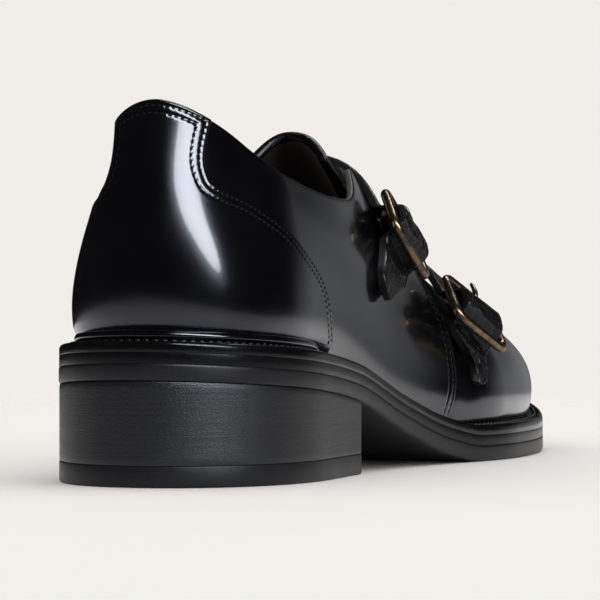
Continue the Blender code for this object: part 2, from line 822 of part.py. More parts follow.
def build_tab(strap, strip, frame):
    """Leather fold round the bar, open in the middle for the prong, with its tail on the quarter."""
    origin, along, side, normal = frame
    low = FIT
    high = FIT + TAIL
    rim = BAR + 0.3
    outline = [(TAIL_LENGTH, low), (3.6, low), (2.3, low), (1.2, low + 0.2)]
    turns = [-10, -30, -50, -70]
    for angle in range(-100, -301, -25):
        bend = math.radians(angle)
        outline.append(((rim + FOLD) * math.cos(bend), BAR_UP + (rim + FOLD) * math.sin(bend)))
        turns.append(angle)
    outline += [(2.6, high + 1.3), (3.5, high + 0.5), (4.3, high + 0.1), (TAIL_LENGTH, high)]
    turns += [-315, -327, -339, -350]
    outer = []
    inner = []
    for edge, angle in zip(outline, turns):
        bend = math.radians(angle)
        hole = (rim * math.cos(bend), BAR_UP + rim * math.sin(bend))
        row = []
        back = []
        for across in np.linspace(-TAB_HALF_WIDTH, TAB_HALF_WIDTH, 3):
            for (x, up), points in ((edge, row), (hole, back)):
                flat = origin + x * along + across * side + up * normal
                on_leather = squared(strip, strap.buckle + x, across)
                bent = over_strip(strip, *on_leather, QUARTER_STEP + up)
                share = smooth((abs(x) - 2.5) / 2.0)
                points.append(flat * (1 - share) + bent * share)
        outer.append(row)
        inner.append(back)
    thing = sheet("tab_" + strap.name, outer, inner, True, (0.01, 0.01, 0.011), 0.2)
    corners = []
    for x in (-3.5, 2.0):
        for y in (-1.25, 1.25):
            for up in (-1.0, 7.0):
                corners.append(origin + x * along + y * side + up * normal)
    faces = [(0, 1, 3, 2), (4, 6, 7, 5), (0, 4, 5, 1), (2, 3, 7, 6), (0, 2, 6, 4), (1, 5, 7, 3)]
    cutter = make_object("slot_" + strap.name, corners, faces, (0.01, 0.01, 0.011), 0.2)
    combine(thing, cutter, "DIFFERENCE")


clear_scene()
build_bottom()
build_seat_bead()
build_insole()
build_upper()
build_counter()
last_tree = closed_last()
build_tongue(last_tree)
for strap_row in STRAPS:
    strap_strip = arches(last_tree, strap_row.station, strap_row.pitch, FRAME_HALF_WIDTH + 3.0)
    strap_object = build_strap(strap_row, strap_strip)
    place, along_strap, across_strap, out_of_strap = strip_frame(strap_strip, strap_row.buckle, 0.0)
    buckle_frame = (place + QUARTER_STEP * out_of_strap, along_strap, across_strap, out_of_strap)
    buckle_rails = rail_heights(strap_row, strap_strip, buckle_frame)
    build_buckle(strap_row, strap_object, buckle_frame, buckle_rails)
    build_tab(strap_row, strap_strip, buckle_frame)
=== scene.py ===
import math

import bmesh
import bpy
import numpy as np
from mathutils import Matrix, Quaternion, Vector
from mathutils.bvhtree import BVHTree


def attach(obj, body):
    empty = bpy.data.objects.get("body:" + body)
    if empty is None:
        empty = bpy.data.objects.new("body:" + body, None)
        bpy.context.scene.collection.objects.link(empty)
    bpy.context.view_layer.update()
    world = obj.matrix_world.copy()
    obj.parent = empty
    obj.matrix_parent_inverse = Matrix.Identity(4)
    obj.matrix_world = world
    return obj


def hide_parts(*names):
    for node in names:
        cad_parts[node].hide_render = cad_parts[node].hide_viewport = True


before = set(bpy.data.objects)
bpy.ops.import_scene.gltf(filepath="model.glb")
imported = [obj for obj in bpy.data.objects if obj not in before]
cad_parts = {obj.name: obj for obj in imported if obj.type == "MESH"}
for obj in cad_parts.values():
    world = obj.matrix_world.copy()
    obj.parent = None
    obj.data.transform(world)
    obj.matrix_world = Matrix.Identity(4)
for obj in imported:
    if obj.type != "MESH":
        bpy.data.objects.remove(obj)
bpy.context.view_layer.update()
print("frame loaded,", len(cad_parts), "solids")

# the last in millimetres from the back of the heel: toe along +y, outer side of the foot +x
last = {
    "length": 268.0, "heelCentre": 45.0, "toeCentre": 172.0,
    "heelRound": 2.06, "toeRoundOuter": 2.15, "toeRoundInner": 2.3,
    "stack": 9.6, "fit": 0.35, "wall": 1.9, "quarterStep": 1.0,
    # station, outer edge, inner edge, ledge, spine
    "edges": ((45, 32, 32, 7.2, 0), (76, 31.5, 30.6, 5.4, 0), (105, 33.6, 29, 4.6, 1.2),
              (138, 39.6, 37.2, 5, -2.5), (172, 46.2, 46.2, 4.8, -5)),
    # station, underside of the outsole over the floor
    "treads": ((0, 24.8), (40, 21.8), (76, 17.9), (110, 8.6), (134, 2.4),
               (151, 0), (205, 0), (240, 2.6), (268, 8.6)),
    # key, then radius share and height for bulge, wall, shoulder, crown and top
    "sections": ((-45, 1.055, 9, 1.035, 25, .905, 42, .80, 58, .72, 80),
                 (0, 1.06, 9, .965, 24, .755, 40, .63, 56, .54, 78),
                 (45, 1.075, 10, 1.01, 24, .81, 39, .66, 56, .47, 76),
                 (76, 1.05, 9, 1, 22, .87, 41, .60, 61, .12, 74),
                 (105, 1.02, 8, .95, 22, .75, 47, .37, 70, 0, 74),
                 (138, 1.03, 9, .93, 24, .60, 48, .25, 62.5, 0, 64),
                 (172, 1.04, 8, .96, 20, .61, 36, .25, 45.8, 0, 47),
                 (202, 1.035, 8, .96, 18.5, .65, 31, .31, 42.5, 0, 47),
                 (232, 1.03, 8, .965, 17, .73, 26, .36, 35.5, 0, 44.5),
                 (262, 1.025, 7.5, .965, 15.5, .75, 22.5, .36, 30, 0, 39.5)),
    # key, height of the collar over the floor
    "collars": ((-45, 89.4), (-21, 85), (5, 79), (45, 73), (66, 69.2), (88, 67.4),
                (100, 69), (112, 76), (124, 79)),
    # station, half width of the instep opening
    "facings": ((108, 16.5), (130, 13), (152, 10.5), (172, 8.5)),
    "seam": 140.0, "seamLean": 13.0, "leanStart": 92.0,
    "openingStart": 106.0, "openingBlend": 14.0,    # where the instep opening takes over from the collar
    "toeTop": 47.0,                                 # top of the section at the toe's centre
}
heelKey, toeKey = last["heelCentre"], last["toeCentre"]
backKey, tipKey = heelKey - 90, toeKey + 90         # the back of the heel and the tip of the toe
seatUp = last["stack"] + last["fit"]


def toScene(places):
    return (np.asarray(places) - (0, last["length"] / 2, 0)) * 0.001


def hermite(x, knots, values, slopes):
    x = np.clip(np.asarray(x, float), knots[0], knots[-1])
    i = np.clip(np.searchsorted(knots, x) - 1, 0, len(knots) - 2)
    gap = knots[i + 1] - knots[i]
    t = (x - knots[i]) / gap
    if values.ndim > 1:
        gap, t = gap[..., None], t[..., None]
    start = (1 + 2 * t) * (1 - t) ** 2 * values[i] + t * (1 - t) ** 2 * gap * slopes[i]
    return start + t * t * (3 - 2 * t) * values[i + 1] + t * t * (t - 1) * gap * slopes[i + 1]


def fairCurve(rows, columns):
    # smooth through the rows, level at both ends
    rows = np.array(rows, float)
    knots, values = rows[:, 0], rows[:, columns]
    gaps = np.diff(knots)
    matrix, right = np.eye(len(knots)), np.zeros(values.shape)
    for i in range(1, len(knots) - 1):
        matrix[i, i - 1:i + 2] = gaps[i], 2 * (gaps[i - 1] + gaps[i]), gaps[i - 1]
        before = (values[i] - values[i - 1]) / gaps[i - 1]
        after = (values[i + 1] - values[i]) / gaps[i]
        right[i] = 3 * (gaps[i] * before + gaps[i - 1] * after)
    slopes = np.linalg.solve(matrix, right)
    return lambda x: hermite(x, knots, values, slopes)


def steadyCurve(rows):
    # level where two rows are level
    knots, values = np.array(rows, float).T
    rises = np.diff(values) / np.diff(knots)
    slopes = np.zeros(len(knots))
    for i in range(1, len(knots) - 1):
        if rises[i - 1] * rises[i] > 0:
            slopes[i] = 2 * rises[i - 1] * rises[i] / (rises[i - 1] + rises[i])
    slopes[0], slopes[-1] = rises[0], rises[-1]
    return lambda x: hermite(x, knots, values, slopes)


def smooth(t):
    t = np.clip(t, 0.0, 1.0)
    return t * t * (3 - 2 * t)


def unit(vectors):
    return vectors / np.maximum(np.linalg.norm(vectors, axis=-1, keepdims=True), 1e-9)


def runLengths(points):
    return np.concatenate([[0], np.cumsum(np.linalg.norm(np.diff(points, axis=0), axis=1))])


def alongTable(run, marks, table):
    return np.stack([np.interp(run, marks, column) for column in table.T], -1)


def raised(base, lift, normal):
    return base + np.asarray(lift)[..., None] * normal


outerEdge, innerEdge, ledgeAt, spineAt = (fairCurve(last["edges"], k) for k in (1, 2, 3, 4))
treadAt = steadyCurve(last["treads"])
facingAt = fairCurve(last["facings"], 1)


def split(key):
    # one key runs from the back through the stations to the tip of the toe
    station = np.clip(key, heelKey, toeKey)
    return station, key - station


def soleRadius(key, side):
    station, turn = split(key)
    half = np.where(side > 0, outerEdge(station), innerEdge(station)) - side * spineAt(station)
    reach = np.where(turn < 0, heelKey, last["length"] - toeKey)
    toeRound = np.where(side > 0, last["toeRoundOuter"], last["toeRoundInner"])
    power = np.where(turn < 0, last["heelRound"], toeRound)
    angle = np.radians(np.abs(turn))
    across = (np.abs(np.cos(angle)) / half) ** power
    return (across + (np.sin(angle) / reach) ** power) ** (-1 / power)


def onPlan(key, side, radius):
    station, turn = split(key)
    angle = np.radians(turn)
    return spineAt(station) + side * radius * np.cos(angle), station + radius * np.sin(angle)


runKeys = np.linspace(backKey, tipKey, 1229)
runMarks = runLengths(np.stack(onPlan(runKeys, 1, soleRadius(runKeys, 1)), -1))


def runOf(key):
    return np.interp(key, runKeys, runMarks)


def byRun(rows):
    return [(runOf(row[0]),) + tuple(row[1:]) for row in rows]


sectionAt = fairCurve(byRun(last["sections"]), slice(1, None))
collarAt = fairCurve(byRun(last["collars"]), 1)


def seatOf(key, side):
    radius = soleRadius(key, side) - ledgeAt(split(key)[0])
    return radius, treadAt(onPlan(key, side, radius)[1]) + seatUp


def sectionPoints(key, side):
    radius, floor = seatOf(key, side)
    shape = sectionAt(runOf(key))
    turn = split(key)[1]
    points = np.zeros(radius.shape + (8, 2))
    points[..., 1, 0], points[..., 1, 1] = radius, floor
    points[..., 2:7, 0] = radius[..., None] * shape[..., 0::2]
    points[..., 2:7, 1] = floor[..., None] + shape[..., 1::2]
    pole = treadAt(toeKey) + seatUp + last["toeTop"]     # all sections of the toe meet here
    points[..., 6, 0] = np.where(turn > 0, 0, points[..., 6, 0])
    points[..., 6, 1] = np.where(turn > 0, pole, points[..., 6, 1])
    points[..., 0, :] = 2 * points[..., 1, :] - points[..., 2, :]
    points[..., 7, :] = 2 * points[..., 6, :] - points[..., 5, :]
    tilt = np.maximum(np.sin(np.radians(turn)), 0)
    points[..., 7, 1] = points[..., 5, 1] + tilt * 2 * (points[..., 6, 1] - points[..., 5, 1])
    return points


def alongSection(points, v):
    v = np.clip(v, 0, 5)
    i = np.minimum(v.astype(int), 4)
    t = v - i
    weights = ((1 - t) ** 3 / 6, (3 * t ** 3 - 6 * t ** 2 + 4) / 6,
               (-3 * t ** 3 + 3 * t ** 2 + 3 * t + 1) / 6, t ** 3 / 6)
    found = 0
    for k in range(4):
        near = np.take_along_axis(points, (i + k)[..., None, None], -2)[..., 0, :]
        found = found + weights[k][..., None] * near
    return found[..., 0], found[..., 1]


def lastPoint(key, side, v):
    key, side, v = np.broadcast_arrays(*(np.asarray(x, float) for x in (key, side, v)))
    radius, height = alongSection(sectionPoints(key, side), v)
    x, y = onPlan(key, side, radius)
    return np.stack([x, y, height], -1)


def outward(key, side, v):
    ahead = lastPoint(key + 0.4, side, v) - lastPoint(key - 0.4, side, v)
    over = lastPoint(key, side, v + 0.02) - lastPoint(key, side, v - 0.02)
    return unit(np.cross(ahead, over) * np.asarray(side)[..., None])


def climb(points, past, start=0.0):
    # how far up each section the test first holds
    low, high = np.full(points.shape[:-2], start), np.full(points.shape[:-2], 5.0)
    for _ in range(30):
        middle = (low + high) / 2
        found = past(*alongSection(points, middle))
        low, high = np.where(found, low, middle), np.where(found, middle, high)
    return high


def topTable(side):
    # where the wall ends: the collar behind, the instep opening ahead of it
    points = sectionPoints(runKeys, np.full(runKeys.shape, side))
    station, turn = split(runKeys)
    blend = smooth((station - last["openingStart"]) / last["openingBlend"])
    ahead = np.where(turn > 0, 1.0, blend)
    collar = climb(points, lambda radius, height: height > collarAt(runMarks))
    opening = climb(points, lambda radius, height: radius < facingAt(station))
    return collar * (1 - ahead) + opening * ahead


tops = {1: topTable(1.0), -1: topTable(-1.0)}


def topAt(key, side):
    return np.where(side > 0, np.interp(key, runKeys, tops[1]), np.interp(key, runKeys, tops[-1]))


def lean(key, share):
    # the front seam of a quarter leans forward on its way up
    forward = last["seamLean"] * share
    behind = smooth((key - last["leanStart"]) / (last["seam"] - last["leanStart"]))
    ahead = np.maximum(toeKey - key, 0) / (toeKey - last["seam"])
    return key + forward * np.where(key < last["seam"], behind, ahead)


def ringColumns(keys):
    return np.concatenate([keys, keys[-2::-1]]), np.repeat([1.0, -1.0], [len(keys), len(keys) - 1])


def bullnose(distance, radius):
    # rounded cut edge: 0 at the edge, 1 from the radius inwards
    return np.sqrt(np.maximum(1 - (1 - np.clip(distance / radius, 0, 1)) ** 2, 0))


def groove(distance, lines, width):
    return sum(np.exp(-((distance - line) / width) ** 2) for line in lines)


# soft creases: start and end on the shoe, half width and depth, all in millimetres
creases = (
    ((22, 36, 70), (27, 92, 51), 6.5, -0.75),      # swell under the collar, beside the counter's seam
    ((-22, 36, 70), (-27, 92, 51), 6.5, -0.75),
    ((17, 10, 74), (24, 34, 60), 9.0, 0.15),       # neck of the counter
    ((-17, 10, 74), (-24, 34, 60), 9.0, 0.15),
    ((-34, 186, 28), (30, 190, 36), 3.4, 0.5),     # breaks across the vamp
    ((-36, 196, 26), (20, 199, 37), 3.0, 0.35),
    ((34, 128, 34), (40, 150, 22), 6.0, 0.4),      # waist of the quarter
)


def creaseDepth(places):
    depth = np.zeros(places.shape[:-1])
    for start, end, width, deep in creases:
        start, end = np.array(start, float), np.array(end, float)
        reach = end - start
        share = ((places - start) @ reach) / reach.dot(reach)
        near = start + np.clip(share, 0, 1)[..., None] * reach
        away = np.linalg.norm(places - near, axis=-1)
        depth += deep * np.exp(-(away / width) ** 2)
    return depth


def makeGrid(bm, columns, rows):
    made = bmesh.ops.create_grid(bm, x_segments=columns, y_segments=rows, size=1.0)["verts"]
    spot = np.array([v.co[:2] for v in made])
    col = np.rint((spot[:, 0] + 1) / 2 * columns).astype(int)
    row = np.rint((spot[:, 1] + 1) / 2 * rows).astype(int)
    return made, col, row


def moveVerts(verts, places):
    for v, place in zip(verts, toScene(places)):
        v.co = place


def paintFaces(bm, verts, marks):
    # each face takes the lowest mark of its corners
    lookup = dict(zip(verts, marks))
    for face in bm.faces:
        if face.verts[0] in lookup:
            face.material_index = int(min(lookup[v] for v in face.verts))


def finishPiece(bm, name, finishes, slotName, covers=True, sharp=50.0):
    bmesh.ops.remove_doubles(bm, verts=bm.verts, dist=0.000012)
    bmesh.ops.dissolve_degenerate(bm, edges=bm.edges, dist=0.000004)
    bmesh.ops.recalc_face_normals(bm, faces=bm.faces)
    mesh = bpy.data.meshes.new(name)
    bm.to_mesh(mesh)
    bm.free()
    mesh.shade_smooth()
    mesh.set_sharp_from_angle(angle=math.radians(sharp))
    for finish in finishes:
        mesh.materials.append(finish)
    piece = bpy.data.objects.new(name, mesh)
    bpy.context.scene.collection.objects.link(piece)
    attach(piece, "root")
    if covers:
        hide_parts(slotName)
    print("  ", name, len(mesh.polygons), "faces")
    return piece


def carve(piece, helper, operation):
    # cut or join with a helper mesh, and keep the result as the piece's own mesh
    modifier = piece.modifiers.new("carve", "BOOLEAN")
    modifier.operation, modifier.solver, modifier.object = operation, "EXACT", helper
    bpy.context.view_layer.update()
    done = bpy.data.meshes.new_from_object(piece.evaluated_get(bpy.context.evaluated_depsgraph_get()))
    piece.modifiers.remove(modifier)
    old, name = piece.data, piece.data.name
    piece.data = done
    bpy.data.meshes.remove(old)
    done.name = name
    bpy.data.objects.remove(helper, do_unlink=True)


class Val:
    # a node's output: sums on it add Math nodes
    def __init__(self, finish, socket):
        self.finish, self.socket = finish, socket

    def maths(self, operation, other):
        return self.finish.node("ShaderNodeMath", {"operation": operation}, {0: self, 1: other})

    def __add__(self, other):
        return self.maths("ADD", other)

    def __sub__(self, other):
        return self.maths("SUBTRACT", other)

    def __mul__(self, other):
        return self.maths("MULTIPLY", other)

    __radd__ = __add__
    __rmul__ = __mul__


class Nodes:
    def __init__(self, tree):
        self.tree = tree

    def node(self, kind, settings=None, sockets=None, out=0):
        made = self.tree.nodes.new(kind)
        for name, value in (settings or {}).items():
            setattr(made, name, value)
        for name, value in (sockets or {}).items():
            if isinstance(value, Val):
                self.tree.links.new(value.socket, made.inputs[name])
            else:
                made.inputs[name].default_value = value
        return Val(self, made.outputs[out])

    def mix(self, factor, first, second):
        first, second = ((*c, 1) if isinstance(c, tuple) else c for c in (first, second))
        return self.node("ShaderNodeMix", {"data_type": "RGBA"}, {0: factor, 6: first, 7: second}, out=2)

    def fade(self, value, start, end):
        return self.node("ShaderNodeMapRange", {"interpolation_type": "SMOOTHSTEP"},
                         {0: value, 1: start, 2: end})


class Finish(Nodes):
    def __init__(self, name, fixed):
        self.material = bpy.data.materials.new(name)
        self.material.use_nodes = True
        super().__init__(self.material.node_tree)
        self.surface = self.tree.nodes["Principled BSDF"]
        for socket, value in fixed.items():
            self.surface.inputs[socket].default_value = value

    def place(self, stretch=(1, 1, 1)):
        spot = self.node("ShaderNodeTexCoord", out=3)
        return self.node("ShaderNodeMapping", None, {"Vector": spot, "Scale": stretch})

    def noise(self, scale, detail=2.0, stretch=(1, 1, 1)):
        sockets = {"Vector": self.place(stretch), "Scale": scale, "Detail": detail}
        return self.node("ShaderNodeTexNoise", None, sockets)

    def pores(self, scale, width):
        cells = self.node("ShaderNodeTexVoronoi", {"feature": "DISTANCE_TO_EDGE"},
                          {"Vector": self.place(), "Scale": scale})
        return self.ramp(cells, 0.0, width)

    def ramp(self, value, low, high):
        made = self.node("ShaderNodeValToRGB", None, {0: value})
        stops = made.socket.node.color_ramp.elements
        stops[0].position, stops[1].position = low, high
        return made

    def link(self, name, value):
        self.tree.links.new(value.socket, self.surface.inputs[name])

    def done(self, tones, roughness, height, deep, strength):
        self.link("Base Color", self.mix(*tones))
        self.link("Roughness", roughness)
        relief = {"Height": height, "Distance": deep, "Strength": strength}
        self.link("Normal", self.node("ShaderNodeBump", None, relief))
        return self.material


coolTint = (0.84, 0.88, 1.0, 1)


def polishedLeather(name, sheen):
    finish = Finish(name, {"IOR": 1.46, "Coat Roughness": sheen["coatRough"], "Coat IOR": 1.46,
                           "Specular IOR Level": sheen["spec"],
                           "Specular Tint": coolTint, "Coat Tint": coolTint})
    cloud, fine = finish.noise(55, 3), finish.noise(2400)
    height = (fine + finish.pores(1700, 0.12)) * sheen["fine"]
    if "folds" in sheen:
        marks = (finish.node("ShaderNodeAttribute", {"attribute_name": mark}, out=2) for mark in strapMarks)
        along, across = (mark * scale for mark, scale in zip(marks, sheen["folds"]))
        spot = finish.node("ShaderNodeCombineXYZ", None, {0: along, 1: across})
        folds = finish.node("ShaderNodeTexNoise", None, {"Vector": spot, "Scale": 1.0, "Detail": 3.0})
        height = height + folds * sheen["foldShare"]
    finish.link("Coat Weight", sheen["coat"] + 0.2 * (cloud - 0.5))
    rough = sheen["rough"] + 0.10 * (cloud - 0.5) + 0.05 * (fine - 0.5)
    tones = cloud, sheen["dark"], sheen["light"]
    return finish.done(tones, rough, height, sheen["deep"], sheen["strength"])


strapMarks = ("along", "across")      # every vertex of a strap knows its place on it, in millimetres
upperSheen = {"dark": (0.0015, 0.0015, 0.002), "light": (0.004, 0.004, 0.0048),
              "rough": 0.17, "coat": 0.45, "coatRough": 0.06, "spec": 0.5,
              "fine": 0.5, "deep": 0.00002, "strength": 0.35}
strapSheen = {"dark": (0.0012, 0.0012, 0.0015), "light": (0.0034, 0.0034, 0.0038),
              "rough": 0.23, "coat": 0.1, "coatRough": 0.12, "spec": 0.22,
              "fine": 0.04, "deep": 0.0007, "strength": 1.0,
              "folds": (0.14, 1.1), "foldShare": 0.9}      # folds to the millimetre along and across
upperLeather = polishedLeather("upperLeather", upperSheen)
strapLeather = polishedLeather("strapLeather", strapSheen)


def cutEdgeFinish(name, gloss, dark, light):
    finish = Finish(name, {"IOR": 1.45, "Specular IOR Level": gloss})
    fibre = finish.noise(1800, 3)
    return finish.done((fibre, dark, light), 0.42 + 0.2 * fibre, fibre, 0.00005, 0.5)


def liningFinish():
    finish = Finish("liningLeather", {"IOR": 1.45, "Specular IOR Level": 0.25,
                                      "Sheen Weight": 0.1, "Sheen Roughness": 0.5})
    cloud, nap = finish.noise(90, 3), finish.noise(2100, 3)
    tones = cloud * 0.6 + nap * 0.4, (0.008, 0.0032, 0.0024), (0.034, 0.013, 0.009)
    return finish.done(tones, 0.55 + 0.25 * nap, nap, 0.00008, 0.6)


def soleEdgeFinish(name, gloss, rough):
    finish = Finish(name, {"IOR": 1.5, "Specular IOR Level": gloss, "Specular Tint": coolTint})
    lines, speckle = finish.noise(900, 3, (0.06, 0.06, 1.0)), finish.noise(3200)
    tones = lines * 0.6 + speckle * 0.4, (0.0015, 0.0015, 0.002), (0.005, 0.005, 0.006)
    return finish.done(tones, rough + 0.25 * (lines - 0.5) + 0.12 * (speckle - 0.5),
                       lines * 0.7 + speckle * 0.3, 0.00006, 0.5)


def heelStackFinish():
    # painted stack: fine level strokes and a bright speckle in the sheen
    finish = Finish("heelStack", {"IOR": 1.5, "Specular IOR Level": 0.5, "Specular Tint": coolTint})
    strokes, broad = finish.noise(1500, 4, (0.035, 0.035, 1.0)), finish.noise(420, 2, (0.05, 0.05, 1.0))
    speckle = finish.noise(4200)
    mixed = strokes * 0.5 + broad * 0.2 + speckle * 0.3
    return finish.done((mixed, (0.0008, 0.0008, 0.0011), (0.007, 0.007, 0.0085)),
                       0.34 + 0.3 * (mixed - 0.5), strokes * 0.35 + speckle * 0.65, 0.00014, 1.0)


def rubberFinish():
    finish = Finish("blackRubber", {"IOR": 1.5, "Specular IOR Level": 0.28, "Specular Tint": coolTint})
    speckle, cloud = finish.noise(3600, 3), finish.noise(120)
    return finish.done((speckle, (0.003, 0.003, 0.0034), (0.013, 0.013, 0.015)),
                       0.38 + 0.2 * (speckle - 0.5) + 0.1 * (cloud - 0.5), speckle, 0.00008, 0.6)


def brassFinish():
    finish = Finish("agedBrass", {"IOR": 1.45})
    wear, fine = finish.ramp(finish.noise(210, 3), 0.38, 0.62), finish.noise(2600, 3)
    finish.link("Metallic", 0.9 + 0.1 * wear)
    return finish.done((wear, (0.035, 0.030, 0.026), (0.22, 0.16, 0.095)),
                       0.30 + 0.12 * (fine - 0.5) - 0.06 * wear, fine, 0.00003, 0.5)


def threadFinish(name, gloss, rough):
    finish = Finish(name, {"IOR": 1.5, "Specular IOR Level": gloss})
    twist = finish.noise(5200)
    return finish.done((twist, (0.002, 0.002, 0.0022), (0.008, 0.008, 0.0085)),
                       rough + 0.2 * twist, twist, 0.00005, 0.7)


cutEdge = cutEdgeFinish("cutEdge", 0.3, (0.025, 0.025, 0.025), (0.10, 0.098, 0.096))
strapEdge = cutEdgeFinish("strapEdge", 0.12, (0.002, 0.002, 0.002), (0.010, 0.0098, 0.0095))
lining = liningFinish()
weltEdge = soleEdgeFinish("weltEdge", 0.26, 0.19)
midsoleEdge = soleEdgeFinish("midsoleEdge", 0.16, 0.30)
heelStack = heelStackFinish()
rubber = rubberFinish()
brass = brassFinish()
thread = threadFinish("waxedThread", 0.2, 0.6)
soleThread = threadFinish("soleThread", 0.4, 0.3)
print("finishes made")

# upper: one ring of leather, round over the collar and down the lining
upper = {"round": 0.9, "stitchLines": (1.7, 3.7), "grooveDeep": 0.16, "grooveWide": 0.3,
         "dip": 0.12, "dipWide": 1.2,               # the vamp dips a little ahead of the quarter
         "rimRows": 7, "rimSwell": 0.32, "edgeWall": 0.8, "thinFrom": 0.88}
edgeSteps = (0, .04, .14, .3, .5, .7, .9)           # close rows over a rounded edge


def toeKeys(count):
    return (toeKey + 90 * (1 - (1 - np.linspace(0, 1, count)) ** 1.4))[1:]


def upperKeys():
    seam = last["seam"]
    near = np.concatenate([edgeSteps, np.arange(1.15, 6, 0.27)])
    behind = np.linspace(heelKey, seam - 6.2, 92)[1:]
    ahead = np.concatenate([[seam + .05, seam + .5, seam + 1.2], np.linspace(seam + 2.2, toeKey, 34)])
    back = np.linspace(backKey, heelKey, 74)
    return np.concatenate([back, behind, (seam - near)[::-1], ahead, toeKeys(62)])


def buildUpper():
    keys, sides = ringColumns(upperKeys())
    rise = np.concatenate([[0, .015, .035], np.linspace(.055, .97, 62), [.985, 1.0]])
    rim = np.linspace(0, 1, upper["rimRows"])[1:]
    down = np.linspace(1, 0, 30)[1:]
    shares = np.concatenate([rise, np.ones(len(rim)), down, [0.0]])
    depths = np.concatenate([np.zeros(len(rise)), rim, np.ones(len(down)), [0.0]])
    marks = np.repeat([0, 1, 2], [len(rise), len(rim) - 1, len(down) + 2])
    bm = bmesh.new()
    verts, col, row = makeGrid(bm, len(keys) - 1, len(shares) - 1)
    key, side, share, depth = keys[col], sides[col], shares[row], depths[row]
    here = lean(key, share)
    v = share * topAt(here, side)
    base, normal = lastPoint(here, side, v), outward(here, side, v)
    behind = last["seam"] - key
    lift = last["quarterStep"] * np.where(behind > 0, bullnose(behind, upper["round"]), 0)
    lift -= upper["grooveDeep"] * groove(behind, upper["stitchLines"], upper["grooveWide"])
    lift -= upper["dip"] * np.exp(-(np.minimum(behind, 0) / upper["dipWide"]) ** 2) * (behind <= 0)
    thinning = smooth((share - upper["thinFrom"]) / (1 - upper["thinFrom"]))
    across = lift + last["wall"] + (upper["edgeWall"] - last["wall"]) * thinning
    swing = (1 - np.cos(np.pi * depth)) / 2
    rimUp = unit(base - lastPoint(here, side, v - 0.04))
    places = raised(base, lift - across * swing - creaseDepth(base) * (1 - 0.6 * depth), normal)
    moveVerts(verts, raised(places, upper["rimSwell"] * across * np.sin(np.pi * depth), rimUp))
    paintFaces(bm, verts, marks[row])
    finishPiece(bm, "upper.leather", [upperLeather, cutEdge, lining], "upper")


# stitches: one small lens of waxed thread each, drawn down into the leather
counterStitch = {"pitch": 1.62, "long": 0.56, "wide": 0.2, "high": 0.16, "proud": -0.1,
                 "dimpleDeep": 0.1, "dimpleWide": 0.5}
seamStitch = {"pitch": 1.75, "long": 0.6, "wide": 0.22, "high": 0.18, "proud": -0.02}


def stitchSpots(points, normals, stitch):
    marks = runLengths(points)
    count = max(int(marks[-1] / stitch["pitch"]), 1)
    runs = (np.arange(count) + 0.5) * marks[-1] / count
    before, after = (alongTable(runs + step, marks, points) for step in (-0.5, 0.5))
    return alongTable(runs, marks, points), unit(after - before), unit(alongTable(runs, marks, normals))


def dimples(places, holes, chosen):
    depth = np.zeros(len(places))
    spots = np.flatnonzero(chosen)
    for part in np.array_split(spots, max(len(spots) // 2000, 1)):
        away = np.linalg.norm(places[part, None] - holes[None], axis=-1).min(1)
        depth[part] = counterStitch["dimpleDeep"] * np.exp(-(away / counterStitch["dimpleWide"]) ** 2)
    return depth


def sewPiece(name, rows, stitch, finish, slotName):
    # rows hold the points and the normals under a row of stitches
    sizes = np.array((stitch["long"], stitch["wide"], stitch["high"])) * 0.001
    bm = bmesh.new()
    for points, normals in rows:
        for spot, along, normal in zip(*stitchSpots(points, normals, stitch)):
            turn = np.eye(4)
            turn[:3, :3] = np.stack([along, unit(np.cross(normal, along)), normal], -1) * sizes
            turn[:3, 3] = toScene(spot + stitch["proud"] * normal)
            bmesh.ops.create_uvsphere(bm, u_segments=8, v_segments=4, radius=1.0, matrix=Matrix(turn))
    finishPiece(bm, name, [finish], slotName, covers=False)


# counter: the panel round the back of the heel, with two rows of stitches inside its edge
counter = {"low": 0.03, "clear": 0.06, "tall": 55.0, "thick": 1.6, "round": 0.8,
           "skive": 5.5, "skived": 0.3,                                  # thinner towards the bottom
           "over": 0.95, "overDrop": 1.0, "cornerDrop": 1.6, "cornerReach": 5.0,   # over the collar
           "stitchLines": (1.5, 3.3), "grooveDeep": 0.07, "grooveWide": 0.36, "dimpled": (0.8, 4.3),
           # height over the floor, key round the heel
           "edge": ((33, 63), (46, 56), (59, 29), (66, -3), (71, -24), (76, -26), (90, -21))}
counterRun = steadyCurve([(height, runOf(key)) for height, key in counter["edge"]])
counterInsets = np.concatenate([[0, .04, .14, .3, .5, .8], np.arange(1.02, 4.4, 0.16)])
cornerRun = counterRun(counter["edge"][-1][0])
farInside = 9.0       # stands for any place away from the edges


def counterEnds(run, side):
    # key, section, and the height of the panel's bottom and its own height at a run round the heel
    key = np.interp(run, runMarks, runKeys)
    points = sectionPoints(key, side)
    low = alongSection(points, np.full(key.shape, counter["low"]))[1]
    corner = np.clip((run - cornerRun) / counter["cornerReach"] + 1, 0, 1.2) ** 2.5
    over = counter["over"] - counter["overDrop"] * smooth(run / cornerRun)
    over = over - np.where(side < 0, counter["cornerDrop"] * corner, 0)
    return key, points, low, collarAt(runOf(key)) + over - low


def counterPlace(run, level, side):
    key, points, low, tall = counterEnds(run, side)
    goal = low + level * tall
    return key, climb(points, lambda radius, height: height > goal, counter["low"])


def counterPoint(run, level, side):
    key, v = counterPlace(run, level, side)
    return lastPoint(key, side, v)


